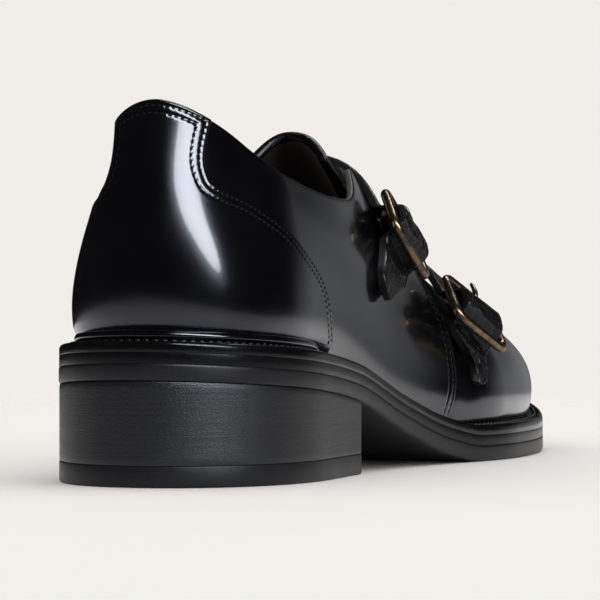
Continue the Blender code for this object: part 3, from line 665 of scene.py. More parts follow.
def counterEdge():
    # side edge as run and level: rows beside the collar first, then evenly down to the bottom
    heights = np.linspace(counter["edge"][0][0], counter["edge"][-1][0], 900)
    run = counterRun(heights)
    one = np.ones(len(run))
    _, _, low, tall = counterEnds(run, one)
    level = (heights - low) / tall
    keep = (level > -0.02) & (level < 1.02)
    level, run = level[keep], run[keep]
    marks = runLengths(counterPoint(run, np.clip(level, 0, 1), one[keep]))
    top = 1 - counterInsets / counter["tall"]
    foot = np.array([1.0, .5, .2, .06, 0]) / counter["tall"]
    start, end = np.interp((foot[0], top[-1]), level, marks)
    down = np.interp(np.linspace(end, start, 260)[1:-1], marks, level)
    levels = np.concatenate([top, down, foot])
    gaps = np.concatenate([counterInsets, np.full(len(down), farInside), foot * counter["tall"]])
    return np.interp(levels, level, run), levels, gaps


def counterInside(run, level):
    # step square to the edge over the leather, keeping level beside the collar and the bottom
    one = np.ones(len(run))

    def slopes(run, level):
        wide = (counterPoint(run + 0.2, level, one) - counterPoint(run - 0.2, level, one)) / 0.4
        tall = (counterPoint(run, level + 0.004, one) - counterPoint(run, level - 0.004, one)) / 0.008
        return wide, tall

    wide, tall = slopes(run, level)
    edge = unit(np.gradient(run)[:, None] * wide + np.gradient(level)[:, None] * tall)
    flat = -unit(wide)
    square = unit(flat - (flat * edge).sum(-1, keepdims=True) * edge)
    free = (smooth(level / 0.12) * smooth((1 - level) / 0.16))[:, None]
    runs, levels = [run], [level]
    for step in np.diff(counterInsets):
        wide, tall = slopes(run, level)
        way = unit(square * free + flat * (1 - free))
        ww, wt, tt = (wide * wide).sum(-1), (wide * tall).sum(-1), (tall * tall).sum(-1)
        a, b = (wide * way).sum(-1) * step, (tall * way).sum(-1) * step
        found = ww * tt - wt * wt
        run = run + (a * tt - b * wt) / found
        level = np.clip(level + free[:, 0] * (b * ww - a * wt) / found, 0, 1)
        runs.append(run)
        levels.append(level)
    return np.array(runs).T, np.array(levels).T


edgeRun, edgeLevel, edgeGaps = counterEdge()
counterRuns, counterLevels = counterInside(edgeRun, edgeLevel)


def counterPaths():
    # where the two rows of stitches run: up one side, along the collar and down the other
    paths = []
    for line in counter["stitchLines"]:
        first = int(np.searchsorted(counterInsets, line))
        run, level = (np.array([np.interp(line, counterInsets, row) for row in table])[first:-6][::-1]
                      for table in (counterRuns, counterLevels))
        along = np.linspace(run[-1], 0, 60)[1:]
        run, side = ringColumns(np.concatenate([run, along]))
        level, _ = ringColumns(np.concatenate([level, np.full(len(along), level[-1])]))
        key, v = counterPlace(run, level, side)
        base, normal = lastPoint(key, side, v), outward(key, side, v)
        lift = last["quarterStep"] + counter["clear"] + counter["thick"] - counter["grooveDeep"]
        paths.append((raised(base, lift - creaseDepth(base), normal), normal))
    return paths


def buildCounter():
    middle = np.linspace(0, 1, 40)[1:]
    runs = np.hstack([counterRuns, counterRuns[:, -1:] * (1 - middle)])
    levels = np.hstack([counterLevels, np.repeat(counterLevels[:, -1:], len(middle), axis=1)])
    insets = np.concatenate([counterInsets, np.full(len(middle), farInside)])
    columns = 2 * len(insets) - 2
    holes = np.vstack([stitchSpots(*path, counterStitch)[0] for path in counterPaths()])
    bm = bmesh.new()
    for outer in (True, False):
        verts, col, row = makeGrid(bm, columns, len(edgeGaps) - 1)
        fold = np.minimum(col, columns - col)
        side = np.where(col < len(insets), 1.0, -1.0)
        level = levels[row, fold]
        key, v = counterPlace(runs[row, fold], level, side)
        gap = np.minimum(insets[fold], edgeGaps[row])
        base, normal = lastPoint(key, side, v), outward(key, side, v)
        lift = last["quarterStep"] + counter["clear"] - creaseDepth(base)
        if outer:
            full = smooth(level * counter["tall"] / counter["skive"])
            bulk = counter["skived"] + (1 - counter["skived"]) * full
            lift += counter["thick"] * bullnose(gap, counter["round"]) * bulk
            lift -= counter["grooveDeep"] * groove(gap, counter["stitchLines"], counter["grooveWide"])
            sewn = (gap > counter["dimpled"][0]) & (gap < counter["dimpled"][1])
            lift -= dimples(raised(base, lift, normal), holes, sewn)
        moveVerts(verts, raised(base, lift, normal))
    finishPiece(bm, "counter.leather", [upperLeather], "counter")


def quarterPaths():
    paths = []
    share = np.linspace(0.04, 0.985, 90)
    for side in (1.0, -1.0):
        for line in upper["stitchLines"]:
            here = lean(last["seam"] - line, share)
            sides = np.full(len(share), side)
            v = share * topAt(here, sides)
            base, normal = lastPoint(here, sides, v), outward(here, sides, v)
            lift = last["quarterStep"] - upper["grooveDeep"] - creaseDepth(base)
            paths.append((raised(base, lift, normal), normal))
    return paths


print("upper")
buildUpper()
buildCounter()
sewPiece("counter.stitches", counterPaths(), counterStitch, thread, "counter")
sewPiece("quarter.stitches", quarterPaths(), seamStitch, thread, "upper")

soleKeys = np.concatenate([np.linspace(backKey, heelKey, 64), np.linspace(heelKey, toeKey, 84)[1:],
                           toeKeys(56)])
# the bottom: layers that follow the sole's edge; rows hold inset and height over the tread
layers = {
    "outsole": {"rows": ((1.0, 0), (.45, .12), (.12, .42), (0, .85), (0, 3.5), (.04, 3.85), (.16, 4.08)),
                "finish": rubber, "top": 4.08, "bottom": 0.0},
    "midsole": {"rows": ((.3, 4.11), (.14, 4.16), (.1, 4.3), (.1, 6.62), (.13, 6.74), (.25, 6.79)),
                "finish": midsoleEdge, "top": 6.79, "bottom": 4.11},
    "welt": {"rows": ((.25, 6.82), (.13, 6.86), (.1, 7.0), (.1, 8.4), (.2, 8.85), (.45, 9.2), (.8, 9.42),
                      (1.3, 9.55), (1.9, 9.57), (2.2, 9.42), (2.5, 9.2), (2.8, 9.16), (3.1, 9.2),
                      (3.4, 9.42), (3.7, 9.57)),
             "finish": weltEdge, "top": 9.58, "bottom": 6.82},
}


def wholeRing(keys):
    return (*ringColumns(keys), np.ones(2 * len(keys) - 1))


def buildRing(name, finish, ring, radii, rows, sharp=50.0):
    # rows hold share of the radius, inset, share of the tread's height and the height added to it
    keys, sides, shares = ring
    share, inset, follow, up = np.array(rows, float).T
    bm = bmesh.new()
    verts, col, row = makeGrid(bm, len(keys) - 1, len(rows) - 1)
    radius = (radii[col] * share[row] - inset[row]) * shares[col]
    x, y = onPlan(keys[col], sides[col], radius)
    y = y - inset[row] * (keys[col] == heel["front"])     # the heel's straight front
    moveVerts(verts, np.stack([x, y, treadAt(y) * follow[row] + up[row]], -1))
    finishPiece(bm, name, [finish], name.split(".")[0], sharp=sharp)


def buildLayer(name, layer):
    ring = wholeRing(soleKeys)
    rows = [(share, 0, 1, layer["bottom"]) for share in (0.0, 0.35, 0.7, 0.9)]
    rows += [(1, inset, 1, up) for inset, up in layer["rows"]]
    rows += [(share, 0, 1, layer["top"]) for share in (0.7, 0.35, 0.0)]
    buildRing(name + ".edge", layer["finish"], ring, soleRadius(*ring[:2]), rows)


# heel: stacked block and its rubber top lift, cut straight across at the front
heel = {"front": 76.0, "lift": 5.1, "gap": 0.05, "inset": 0.15,
        # inset and height of the lift's edge
        "rows": ((.75, 0), (.38, .12), (.2, .3), (.1, .6), (.1, 2.55), (.1, 4.75), (.16, 4.98), (.35, 5.1))}


def heelRing():
    # round one side, across the front and round the other side
    keys = np.concatenate([np.linspace(backKey, heelKey, 70), np.linspace(heelKey, heel["front"], 26)[1:]])
    front = np.linspace(1, -1, 25)[1:-1]
    ones = np.ones(len(keys))
    return (np.concatenate([keys, np.full(len(front), heel["front"]), keys[::-1]]),
            np.concatenate([ones, np.where(front >= 0, 1.0, -1.0), -ones]),
            np.concatenate([ones, np.abs(front), ones]))


def buildHeel():
    ring = heelRing()
    radii = soleRadius(*ring[:2])
    low, gap = heel["lift"], heel["gap"]
    steps = [(0, 0, 0), (1, .4, 0), (1, .3, 0), (1, .18, .02)]
    steps += [(1, heel["inset"], tall) for tall in np.linspace(.08, .92, 14)]
    steps += [(1, .18, .98), (1, .3, 1), (1, .4, 1), (0, 0, 1)]
    rows = [(share, inset, tall, low + gap - (low + 1.5 * gap) * tall) for share, inset, tall in steps]
    buildRing("heel_block.stack", heelStack, ring, radii, rows, sharp=35)
    rows = [(0, 0, 0, 0)] + [(1, inset, 0, up) for inset, up in heel["rows"]] + [(0, 0, 0, low)]
    buildRing("top_lift.stack", rubber, ring, radii, rows, sharp=35)


# bead of leather that fills the join between the heel seat and the counter
bead = {"end": 61.0, "out": 2.1, "tall": 3.0, "back": 0.2, "sunk": 0.3, "taper": 14.0, "least": 0.03}


def buildBead():
    keys = np.linspace(backKey, bead["end"], 90)
    sides = np.repeat([1.0, -1.0], [len(keys), len(keys) - 2])
    keys = np.concatenate([keys[::-1], keys[1:-1]])
    angles = np.concatenate([np.linspace(-90, 90, 17), [-90]])
    bm = bmesh.new()
    verts, col, row = makeGrid(bm, len(keys) - 1, len(angles) - 1)
    key, side, bend = keys[col], sides[col], np.radians(angles[row])
    thin = bead["least"] + (1 - bead["least"]) * smooth((bead["end"] - key) / bead["taper"])
    radius, floor = seatOf(key, side)
    out = np.where(row == len(angles) - 1, 0, bead["out"] * thin * np.cos(bend))
    up = bead["tall"] / 2 * thin * (1 + np.sin(bend)) - bead["sunk"]
    x, y = onPlan(key, side, radius + bead["back"] + last["quarterStep"] + out)
    moveVerts(verts, np.stack([x, y, floor + up], -1))
    finishPiece(bm, "seat_bead.leather", [upperLeather], "seat_bead")


# sock: the leather that lies on the insole; rows hold share of the width, inset and height
sock = {"inset": 2.3,
        "rows": ((0, 0, .1), (.6, 0, .1), (1, .3, .1), (1, 0, .5), (1, 0, 1.7), (1, .2, 2.2), (1, .7, 2.4),
                 (.85, 0, 2.4), (.6, 0, 2.4), (.3, 0, 2.4), (0, 0, 2.4))}


def buildSock():
    ring = wholeRing(soleKeys[::2])
    rows = [(share, inset, 1, seatUp + up) for share, inset, up in sock["rows"]]
    buildRing("insole.sock", lining, ring, seatOf(*ring[:2])[0] - sock["inset"], rows)


weltStitch = {"pitch": 2.2, "long": 0.85, "wide": 0.42, "high": 0.5, "proud": 0.3,
              "inset": 2.8, "level": 9.2}


def weltPath():
    keys, sides = ringColumns(soleKeys)
    x, y = onPlan(keys, sides, soleRadius(keys, sides) - weltStitch["inset"])
    return np.stack([x, y, treadAt(y) + weltStitch["level"]], -1), np.tile((0.0, 0.0, 1.0), (len(x), 1))


print("bottom")
for layerName, layerSizes in layers.items():
    buildLayer(layerName, layerSizes)
buildHeel()
buildBead()
buildSock()
sewPiece("welt.stitches", [weltPath()], weltStitch, soleThread, "welt")


# straps and tongue lie on arches of the last, square to the instep
def closedLast():
    keys, sides = ringColumns(np.concatenate([np.linspace(backKey, heelKey, 40),
                                              np.linspace(heelKey, toeKey, 128)[1:],
                                              np.linspace(toeKey, tipKey, 60)[1:]]))
    bm = bmesh.new()
    verts, col, row = makeGrid(bm, len(keys) - 1, 90)
    for v, place in zip(verts, lastPoint(keys[col], sides[col], row / 18.0)):
        v.co = place
    tree = BVHTree.FromBMesh(bm)
    bm.free()
    return tree


lastTree = closedLast()


class Strip:
    # surface under a strap: length out from the ridge, and distance across towards the toe
    def __init__(self, station, pitch, reach):
        self.reach = reach
        self.offsets = np.linspace(-reach, reach, 25)
        self.lengths = np.linspace(-60, 90, 601)
        slope = math.radians(pitch)
        ahead = np.array([0, math.cos(slope), -math.sin(slope)])
        above = np.array([0, math.sin(slope), math.cos(slope)])
        start = lastPoint(station, 1.0, 5.0) - 34 * above      # inside the last, under its ridge
        table = np.array([self.arch(start + offset * ahead, above) for offset in self.offsets])
        for axis, blur in ((1, 9), (0, 3)):  # take the facets out of the found points
            pad = [(0, 0)] * 3
            pad[axis] = (blur // 2, blur // 2)
            wide = np.pad(table, pad, mode="reflect", reflect_type="odd")
            span = np.arange(table.shape[axis])
            table = np.mean([np.take(wide, span + k, axis) for k in range(blur)], 0)
        self.table = table

    def arch(self, start, above):
        found = []
        for angle in np.radians(np.linspace(240, -60, 481)):
            ray = math.cos(angle) * np.array([1.0, 0, 0]) + math.sin(angle) * above
            hit = lastTree.ray_cast(Vector(start), Vector(ray))[0]
            if hit is not None:
                found.append(hit)
        found = np.array(found)
        runs = runLengths(found)
        i = int(np.argmax(found[:, 0] > start[0]))
        share = (start[0] - found[i - 1, 0]) / (found[i, 0] - found[i - 1, 0])
        runs = runs - (runs[i - 1] + share * (runs[i] - runs[i - 1]))
        return alongTable(self.lengths, runs, found)

    def at(self, length, across):
        step = self.lengths[1] - self.lengths[0]
        place = np.clip((np.asarray(length, float) - self.lengths[0]) / step, 0, len(self.lengths) - 1.001)
        line = np.interp(across, self.offsets, np.arange(len(self.offsets)))
        line = np.clip(line, 0, len(self.offsets) - 1.001)
        i, j = line.astype(int), place.astype(int)
        s, t = (line - i)[..., None], (place - j)[..., None]
        near, far = (self.table[k, j] * (1 - t) + self.table[k, j + 1] * t for k in (i, i + 1))
        return near * (1 - s) + far * s

    def frame(self, length, across):
        length, across = np.broadcast_arrays(np.asarray(length, float), np.asarray(across, float))
        along = unit(self.at(length + 2.5, across) - self.at(length - 2.5, across))
        far, near = np.minimum(across + 3, self.reach), np.maximum(across - 3, -self.reach)
        normal = unit(np.cross(along, self.at(length, far) - self.at(length, near)))
        return self.at(length, across), along, np.cross(normal, along), normal

    def over(self, length, across, lift):
        place, _, _, normal = self.frame(length, across)
        return raised(place, lift, normal), normal

    def squared(self, length, across):
        # distance across, square to the strap's own direction
        middle = np.zeros(np.shape(length))
        _, along, side, _ = self.frame(length, middle)
        step = self.at(length, middle + 3) - self.at(length, middle - 3)
        out = (step * side).sum(-1)
        return length - across * (step * along).sum(-1) / out, across * 6 / out


tongue = {"top": 119.5, "foot": 184.0, "pitch": 40.0, "halfArc": 24.0, "narrows": 5.0, "thick": 1.8,
          "round": 0.9, "under": 1.0, "roll": 0.35, "rollIn": 1.0, "rollSoft": 0.8, "rollWide": 1.9}


def buildTongue():
    reach = (tongue["foot"] - tongue["top"]) / math.cos(math.radians(tongue["pitch"])) / 2
    strip = Strip((tongue["top"] + tongue["foot"]) / 2, tongue["pitch"], reach)
    near = np.concatenate([edgeSteps, [1.2, 1.5, 1.8, 2.1, 2.5, 3]])
    tops = np.concatenate([near, np.linspace(4, 2 * reach, 70)])
    gaps = np.concatenate([near, np.linspace(4, tongue["halfArc"], 22)])
    columns = 2 * len(gaps) - 2
    bm = bmesh.new()
    for outer in (True, False):
        verts, col, row = makeGrid(bm, columns, len(tops) - 1)
        top, gap = tops[row], gaps[np.minimum(col, columns - col)]
        half = tongue["halfArc"] - tongue["narrows"] * smooth(top / (2 * reach))
        spread = (half - near[-1]) / (tongue["halfArc"] - near[-1])
        inset = np.where(gap > near[-1], near[-1] + (gap - near[-1]) * spread, gap)
        length = np.where(col < len(gaps), -1, 1) * (half - inset)
        edge = np.minimum(np.minimum(inset, top), 2 * reach - top)
        roll = tongue["roll"] * np.exp(-((edge - tongue["rollIn"]) / tongue["rollSoft"]) ** 2)
        bulk = (tongue["thick"] / 2 + roll) * bullnose(edge, tongue["round"])
        lift = -last["wall"] - tongue["under"] - tongue["thick"] / 2 + (bulk if outer else -bulk)
        moveVerts(verts, strip.over(length, top - reach, lift)[0])
        paintFaces(bm, verts, np.where(edge < tongue["rollWide"], 0, 0 if outer else 1))
    finishPiece(bm, "tongue.leather", [strapLeather, lining], "tongue")


# straps: where each crosses the instep, its lengths from the crossing and how its end is cut
straps = (
    {"name": "upper", "station": 140.0, "pitch": 45.0, "medial": -26.0, "buckle": 37.0, "tip": 63.0,
     "seed": 0.4, "sweep": -4.5, "side": 1, "start": 0.1, "cut": 0.5},
    {"name": "lower", "station": 174.0, "pitch": 40.0, "medial": -24.0, "buckle": 50.0, "tip": 65.5,
     "seed": 2.1, "sweep": 3.5, "side": -1, "start": -0.9, "cut": 0.6},
)
strapSizes = {"thick": 2.0, "halfWidth": 7.9, "round": 0.55, "endStart": 6.0, "tipRound": 7.0,
              "wrinkle": 0.26, "stitchInset": 1.5, "grooveDeep": 0.14, "grooveWide": 0.32, "rawEdge": 0.3,
              "humpClear": 1.9, "humpBefore": 4.4, "humpBeyond": 5.2}
strapWaves = ((0.55, 0.5, 1.9, 1), (0.3, -0.4, 1.15, 3), (0.35, 0.9, 3.1, 5))   # size, sway, pitch, phase
strapCreased = ((1.0, 0, 7.5), (0.75, 14, 6), (0.25, -16, 7))     # strength, distance past the bar, width
buckle = {"wire": 1.25, "bar": 0.9, "prong": 0.7, "halfWidth": 10.3, "halfLength": 7.6, "corner": 3.0,
          "barUp": 2.9, "fold": 0.9, "tail": 1.0, "tailLength": 5.0, "tabHalf": 5.0, "tabEdge": 0.25,
          "slotMiddle": (-0.75, 0, 3.0), "slotSize": (5.5, 2.5, 8.0)}


def strapLift(strap, length):
    beyond = length - strap["buckle"]
    spread = np.where(beyond < 0, strapSizes["humpBefore"], strapSizes["humpBeyond"])
    tall = buckle["barUp"] + buckle["bar"] + buckle["fold"] + strapSizes["humpClear"]
    free = 0.5 * smooth(beyond / 6) + 0.4 * smooth((beyond - 9) / 12)
    return last["quarterStep"] + last["fit"] + np.hypot(tall * np.exp(-(beyond / spread) ** 4), free)


def strapWidth(strap, length):
    left = np.maximum(strap["tip"] - length, 0)
    blunt = np.maximum(1 - np.maximum(1 - left / strapSizes["tipRound"], 0) ** 2.5, 0) ** 0.4
    return strapSizes["halfWidth"] * blunt


def wrinkles(strap, length, across):
    # fine folds across the strap where it bends over the bar, and along the tail
    phase, beyond = strap["seed"], length - strap["buckle"]
    sway = 0.9 * np.sin(across * 0.35 + phase) + 0.4 * np.sin(across * 0.9 + 2 * phase)
    waves = sum(size * np.sin(2 * np.pi * (length + share * sway) / pitch + turn * phase)
                for size, share, pitch, turn in strapWaves)
    strong = sum(most * np.exp(-((beyond - middle) / wide) ** 2) for most, middle, wide in strapCreased)
    return strapSizes["wrinkle"] * waves * strong


def strapPoint(strap, strip, length, across, lift):
    # the end is cut on a slant and turned aside
    share = across / np.maximum(strapWidth(strap, length), 0.5)
    past = np.maximum(length - strap["buckle"] - strapSizes["endStart"], 0)
    aside = strap["sweep"] * past / (strap["tip"] - strap["buckle"] - strapSizes["endStart"])
    slant = np.maximum(strap["side"] * share - strap["start"], 0) / (1 - strap["start"])
    length = length - past * strap["cut"] * slant
    return strip.over(*strip.squared(length, across + aside), strapLift(strap, length) + lift)


def buildStrap(strap, strip):
    near = np.array([0, .03, .1, .22, .38, .55, .8, 1.05, 1.3, 1.5, 1.7, 2.0, 2.4])
    insets = np.concatenate([near, np.linspace(3, strapSizes["halfWidth"], 12)])
    ends = np.array([0, .03, .1, .22, .4, .7, 1.05, 1.4, 1.8, 2.3])
    body = np.arange(strap["medial"] + 2.9, strap["tip"] - 2.9, 0.42)
    lengths = np.concatenate([strap["medial"] + ends, body, strap["tip"] - ends[::-1]])
    rows = 2 * len(insets) - 2
    bm = bmesh.new()
    alongMark, acrossMark = (bm.verts.layers.float.new(mark) for mark in strapMarks)
    for outer in (True, False):
        verts, col, row = makeGrid(bm, len(lengths) - 1, rows)
        length, inset = lengths[col], insets[np.minimum(row, rows - row)]
        half = strapWidth(strap, length)
        across = np.where(row < len(insets), -1, 1) * (half - inset * half / strapSizes["halfWidth"])
        left = strap["tip"] - length
        edge = np.minimum(np.minimum(inset, length - strap["medial"]),
                          np.where(left > strapSizes["tipRound"], farInside, left))
        lift = np.zeros(len(verts))
        if outer:
            dent = groove(edge, (strapSizes["stitchInset"],), strapSizes["grooveWide"])
            lift += strapSizes["thick"] * bullnose(edge, strapSizes["round"])
            lift -= strapSizes["grooveDeep"] * dent
            lift += wrinkles(strap, length, across) * smooth(edge / 2.2)
        moveVerts(verts, strapPoint(strap, strip, length, across, lift)[0])
        for v, run, side in zip(verts, length, across):
            v[alongMark], v[acrossMark] = run, side
        paintFaces(bm, verts, (edge < strapSizes["rawEdge"]) * outer)
    strapName = "strap_" + strap["name"]
    finishPiece(bm, strapName + ".leather", [strapLeather, strapEdge], strapName)


def strapPaths(strap, strip):
    inset = strapSizes["stitchInset"]
    lengths = np.linspace(strap["medial"] + inset, strap["tip"] - 4.0, 150)
    lift = strapSizes["thick"] - strapSizes["grooveDeep"]
    half = strapWidth(strap, lengths) - inset
    return [strapPoint(strap, strip, lengths, sign * half, lift) for sign in (-1, 1)]


def tubePiece(name, slotName, path, radii, closed=False, covers=True, sides=16):
    # round bar along a path: a grid rolled up, its ends drawn to a point by the radii
    path = np.asarray(path, float)
    if closed:
        path = np.vstack([path, path[:1]])
    tangent = np.gradient(path, axis=0)
    if closed:
        tangent[0] = tangent[-1] = path[1] - path[-2]
    tangent = unit(tangent)
    frames, guide = [], np.cross(tangent[0], (0.3, 0.5, 0.81))
    for along in tangent:
        guide = unit(guide - along * guide.dot(along))
        frames.append((guide, np.cross(along, guide)))
    twist = 0.0
    if closed:  # undo the twist left over after one turn
        first, end = frames[0], frames[-1]
        twist = math.atan2(np.dot(end[0], first[1]), np.dot(end[0], first[0]))
    bm = bmesh.new()
    verts, col, row = makeGrid(bm, len(path) - 1, sides)
    angle = 2 * np.pi * row / sides - np.linspace(0, twist, len(path))[col]
    one, two = np.array(frames)[col].swapaxes(0, 1)
    radius = np.broadcast_to(radii, len(path))[col]
    moveVerts(verts, raised(raised(path[col], radius * np.cos(angle), one), radius * np.sin(angle), two))
    return finishPiece(bm, name, [brass], slotName, covers)


def fairPath(points, count):
    # smooth path through a few points
    points = np.asarray(points, float)
    marks = runLengths(points)
    ghost = np.vstack([2 * points[0] - points[1], points, 2 * points[-1] - points[-2]])
    found = []
    for run in np.linspace(0, marks[-1], count):
        i = min(int(np.searchsorted(marks, run, side="right")) - 1, len(points) - 2)
        t = (run - marks[i]) / (marks[i + 1] - marks[i])
        a, b, c, d = ghost[i:i + 4]
        bend, turn = 2 * a - 5 * b + 4 * c - d, 3 * b - a - 3 * c + d
        found.append(0.5 * (2 * b + (c - a) * t + bend * t * t + turn * t ** 3))
    return np.array(found)


def buckleFrame(strap, strip):
    # where the buckle sits, its directions, and how high its rails clear the strap behind and ahead
    place, along, side, normal = strip.frame(strap["buckle"], 0.0)
    origin = place + last["quarterStep"] * normal
    rails = []
    for reach in (-buckle["halfLength"], buckle["halfLength"]):
        near, share = np.meshgrid((-1.8, 0.0, 1.8), (-1, 0, 1))
        length = (strap["buckle"] + reach + near).ravel()
        across = share.ravel() * strapWidth(strap, length)
        tops, _ = strapPoint(strap, strip, length, across, strapSizes["thick"])
        rails.append(((tops - origin) @ normal).max() + buckle["wire"] + 3 * last["fit"])
    return origin, along, side, normal, rails


def buildBuckle(strap, spot):
    origin, along, side, normal, rails = spot
    frameName, prongName = "buckle_" + strap["name"], "prong_" + strap["name"]

    def at(x, y, up):
        return origin + x * along + y * side + up * normal

    halfLength, halfWidth, corner, up = (buckle[k] for k in ("halfLength", "halfWidth", "corner", "barUp"))
    middle = max(sum(rails) / 2, up + 0.4)
    tilt = (rails[1] - rails[0]) / (2 * halfLength)
    outline = []
    for turn, (sx, sy) in enumerate(((1, 1), (-1, 1), (-1, -1), (1, -1))):
        for angle in np.radians(np.linspace(0, 90, 12) + 90 * turn):
            outline.append((sx * (halfLength - corner) + corner * math.cos(angle),
                            sy * (halfWidth - corner) + corner * math.sin(angle)))
    outline = np.array(outline + outline[:1])
    marks = runLengths(outline)
    even = alongTable(np.linspace(0, marks[-1], 109)[:-1], marks, outline)
    path = [at(x, y, middle + tilt * x) for x, y in even]
    ring = tubePiece(frameName + ".frame", frameName, path, buckle["wire"], closed=True, sides=20)
    ends = ((-1, middle - 0.4), (-.93, (middle + up) / 2), (-.8, up), (0, up))
    bar = [at(0, y * (halfWidth - 0.2), z) for y, z in ends + tuple((-y, z) for y, z in ends[2::-1])]
    radii = np.full(60, buckle["bar"])
    radii[[0, -1]] = 0.0
    helper = tubePiece("bar_" + strap["name"], frameName, fairPath(bar, 60), radii, covers=False)
    carve(ring, helper, "UNION")
    ring.data.shade_smooth()
    low = up - buckle["bar"] - buckle["prong"] - 0.25
    rail = middle - tilt * halfLength + buckle["wire"] + buckle["prong"]
    hook = ((1.0, low), (-0.5, low), (-1.7, up - 0.9), (-2.4, up + 0.6), (-3.7, up + 2.3),
            (-5.4, rail + 0.45), (-8.6, rail + 0.35), (-10.2, rail - 0.1))
    thin = np.full(56, buckle["prong"])
    thin[-14:] *= np.linspace(1, 0.72, 14)
    thin[-3:] *= (0.85, 0.55, 0.0)
    thin[:3] *= (0.0, 0.6, 0.9)
    tubePiece(prongName + ".wire", prongName, fairPath([at(x, 0, z) for x, z in hook], 56), thin)


def buildTab(strap, strip, spot):
    # leather folded round the bar, open in the middle for the prong
    origin, along, side, normal, _ = spot
    tabName = "tab_" + strap["name"]

    def at(x, y, up):
        return raised(raised(raised(origin, x, along), y, side), up, normal)

    low, high = last["fit"], last["fit"] + buckle["tail"]
    inner, barUp = buckle["bar"] + 0.3, buckle["barUp"]
    outer = inner + buckle["fold"]
    outline = [(buckle["tailLength"], low), (3.6, low), (2.3, low), (1.2, low + 0.2)]
    bow = list(range(-100, -301, -25))
    outline += [(outer * math.cos(a), barUp + outer * math.sin(a)) for a in np.radians(bow)]
    outline += [(2.6, high + 1.3), (3.5, high + 0.5), (4.3, high + 0.1), (buckle["tailLength"], high)]
    turns = [-10, -30, -50, -70] + bow + [-315, -327, -339, -350]     # angle round the bar of each point
    count = 80
    skin = fairPath(outline, count)
    bends = np.radians(np.interp(np.linspace(0, 1, count), np.linspace(0, 1, len(turns)), turns))
    hole = np.stack([inner * np.cos(bends), barUp + inner * np.sin(bends)], -1)
    skin, hole = np.vstack([skin, skin[:1]]), np.vstack([hole, hole[:1]])
    half, shrunk = buckle["tabHalf"], buckle["tabEdge"]
    sideSteps = np.array([0, .08, .3])
    widths = np.linspace(-half + .7, half - .7, 16)
    widths = np.concatenate([sideSteps - half, widths, half - sideSteps[::-1]])
    # rows across the tab: place, how far the edge is drawn in, and 1 on the inside
    rows = [(w, shrunk * (1 - bullnose(half - abs(w), 0.3)), 0) for w in widths]
    rows += [(half, 0, 1), (0, 0, 1), (-half, 0, 1), (-half, shrunk, 0)]
    bm = bmesh.new()
    verts, col, row = makeGrid(bm, count, len(rows) - 1)
    across, shrink, inside = np.array(rows, float)[row].T
    shape = np.where(inside[:, None] > 0, hole[col], skin[col])
    x, up = raised(shape, shrink / 4, np.array([1.2, barUp]) - shape).T
    bent, _ = strip.over(*strip.squared(strap["buckle"] + x, across), last["quarterStep"] + up)
    share = smooth((np.abs(x) - 2.5) / 2.0)[:, None]
    moveVerts(verts, at(x, across, up) * (1 - share) + bent * share)
    tab = finishPiece(bm, tabName + ".leather", [strapLeather], tabName)
    bm = bmesh.new()
    for v in bmesh.ops.create_cube(bm, size=1.0)["verts"]:
        v.co = toScene(at(*(np.array(buckle["slotMiddle"]) + np.array(buckle["slotSize"]) * v.co)))
    helper = finishPiece(bm, "slot_" + strap["name"], [strapLeather], tabName, covers=False)
    carve(tab, helper, "DIFFERENCE")


print("straps")
buildTongue()
for strapRow in straps:
    strapStrip = Strip(strapRow["station"], strapRow["pitch"], buckle["halfWidth"] + 3.0)
    buildStrap(strapRow, strapStrip)
    sewnTo = "strap_" + strapRow["name"]
    sewPiece(sewnTo + ".stitches", strapPaths(strapRow, strapStrip), seamStitch, thread, sewnTo)
    buckleSpot = buckleFrame(strapRow, strapStrip)
    buildBuckle(strapRow, buckleSpot)
    buildTab(strapRow, strapStrip, buckleSpot)

# pale floor that fades into the backdrop, and soft studio light
studio = {"floor": 0.66, "solid": 0.2, "tone": (0.915, 0.908, 0.898), "back": (0.879, 0.855, 0.823),
          "backGlow": 0.28, "roomGlow": 0.004}


def fadeFloor(finish):
    # the floor thins out to the backdrop far from the shoe
    spot = finish.node("ShaderNodeTexCoord", out=3)
    away = finish.node("ShaderNodeVectorMath", {"operation": "LENGTH"}, {0: spot}, out=1)
    fade = finish.fade(away, studio["solid"], studio["floor"] * 0.97)
    clear = finish.node("ShaderNodeBsdfTransparent")
    mixed = finish.node("ShaderNodeMixShader", None, {0: fade, 2: clear})
    finish.tree.links.new(finish.surface.outputs[0], mixed.socket.node.inputs[1])
    finish.tree.links.new(mixed.socket, finish.tree.nodes["Material Output"].inputs["Surface"])


def buildStage():
    bm = bmesh.new()
    bmesh.ops.create_circle(bm, cap_ends=True, radius=studio["floor"], segments=96)
    mesh = bpy.data.meshes.new("floor")
    bm.to_mesh(mesh)
    bm.free()
    floor = bpy.data.objects.new("floor", mesh)
    bpy.context.scene.collection.objects.link(floor)
    finish = Finish("paleFloor", {"Roughness": 0.7, "Specular IOR Level": 0.1})
    paler = tuple(c * 1.01 for c in studio["tone"])
    finish.link("Base Color", finish.mix(finish.noise(3), studio["tone"], paler))
    fadeFloor(finish)
    mesh.materials.append(finish.material)


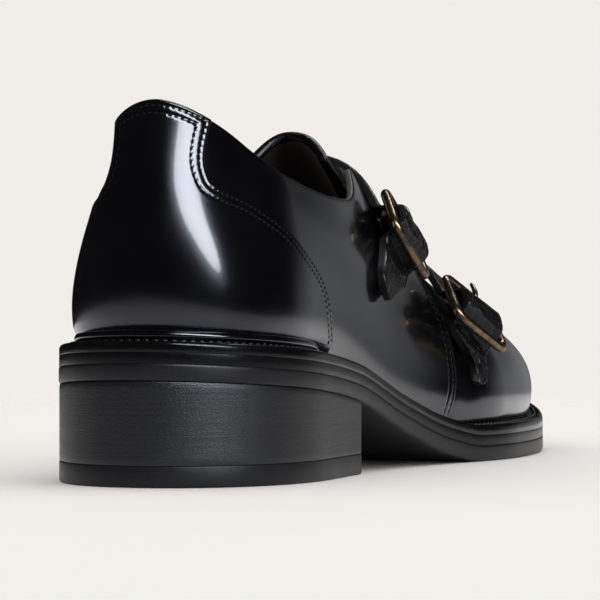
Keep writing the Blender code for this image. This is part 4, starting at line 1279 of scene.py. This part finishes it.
def buildRoom():
    # pale all round, but a gloss sees a dim room with a lit backdrop ahead of the toe
    world = bpy.data.worlds.new("studio")
    bpy.context.scene.world = world
    world.use_nodes = True
    room = Nodes(world.node_tree)
    way = room.node("ShaderNodeTexCoord", out=0)
    x, y, z = (room.node("ShaderNodeSeparateXYZ", None, {0: way}, out=k) for k in range(3))
    ahead = room.fade(x * 0.2 + y * 0.98, 0.85, 0.985)
    low = room.fade(z, 0.30, 0.05)
    glow = studio["roomGlow"] + studio["backGlow"] * ahead * low
    gloss = room.node("ShaderNodeLightPath", out=3)
    dim = room.node("ShaderNodeCombineColor", None, {0: glow, 1: glow, 2: glow})
    seen = room.mix(gloss, studio["back"], dim)
    room.tree.links.new(seen.socket, world.node_tree.nodes["Background"].inputs["Color"])


def softbox(name, place, aim, size, power, mirrored=True, roll=0.0):
    lamp = bpy.data.lights.new(name, "AREA")
    lamp.shape, lamp.size, lamp.size_y = "ELLIPSE", size[0], size[1]
    lamp.energy = power
    light = bpy.data.objects.new(name, lamp)
    light.location = place
    facing = (Vector(aim) - Vector(place)).to_track_quat("-Z", "Y")
    light.rotation_euler = (facing @ Quaternion((0, 0, 1), math.radians(roll))).to_euler()
    light.visible_diffuse, light.visible_glossy = not mirrored, mirrored
    bpy.context.scene.collection.objects.link(light)


def buildCamera():
    view = {"place": (0.33826, -1.07506, 0.0541), "turn": (89.4, 0.0, 17.61), "lens": 258.8}
    lens = bpy.data.cameras.new("camera")
    lens.lens, lens.sensor_width, lens.clip_end = view["lens"], 36.0, 100.0
    camera = bpy.data.objects.new("camera", lens)
    camera.location = view["place"]
    camera.rotation_euler = [math.radians(a) for a in view["turn"]]
    bpy.context.scene.collection.objects.link(camera)
    bpy.context.scene.camera = camera


buildStage()
buildRoom()
softbox("keyBox", (1.20, -1.02, 0.945), (0, -0.1, 0.06), (0.58, 2.0), 52, roll=57)
softbox("topStrip", (0.1, 0.75, 1.3), (0, 0, 0.05), (0.9, 0.25), 8)
softbox("topFill", (0.4, 0.3, 1.8), (0, 0, 0), (1.6, 1.6), 7.5, mirrored=False)
buildCamera()
bpy.context.scene.view_settings.view_transform = "Standard"
print("stage, light and camera")
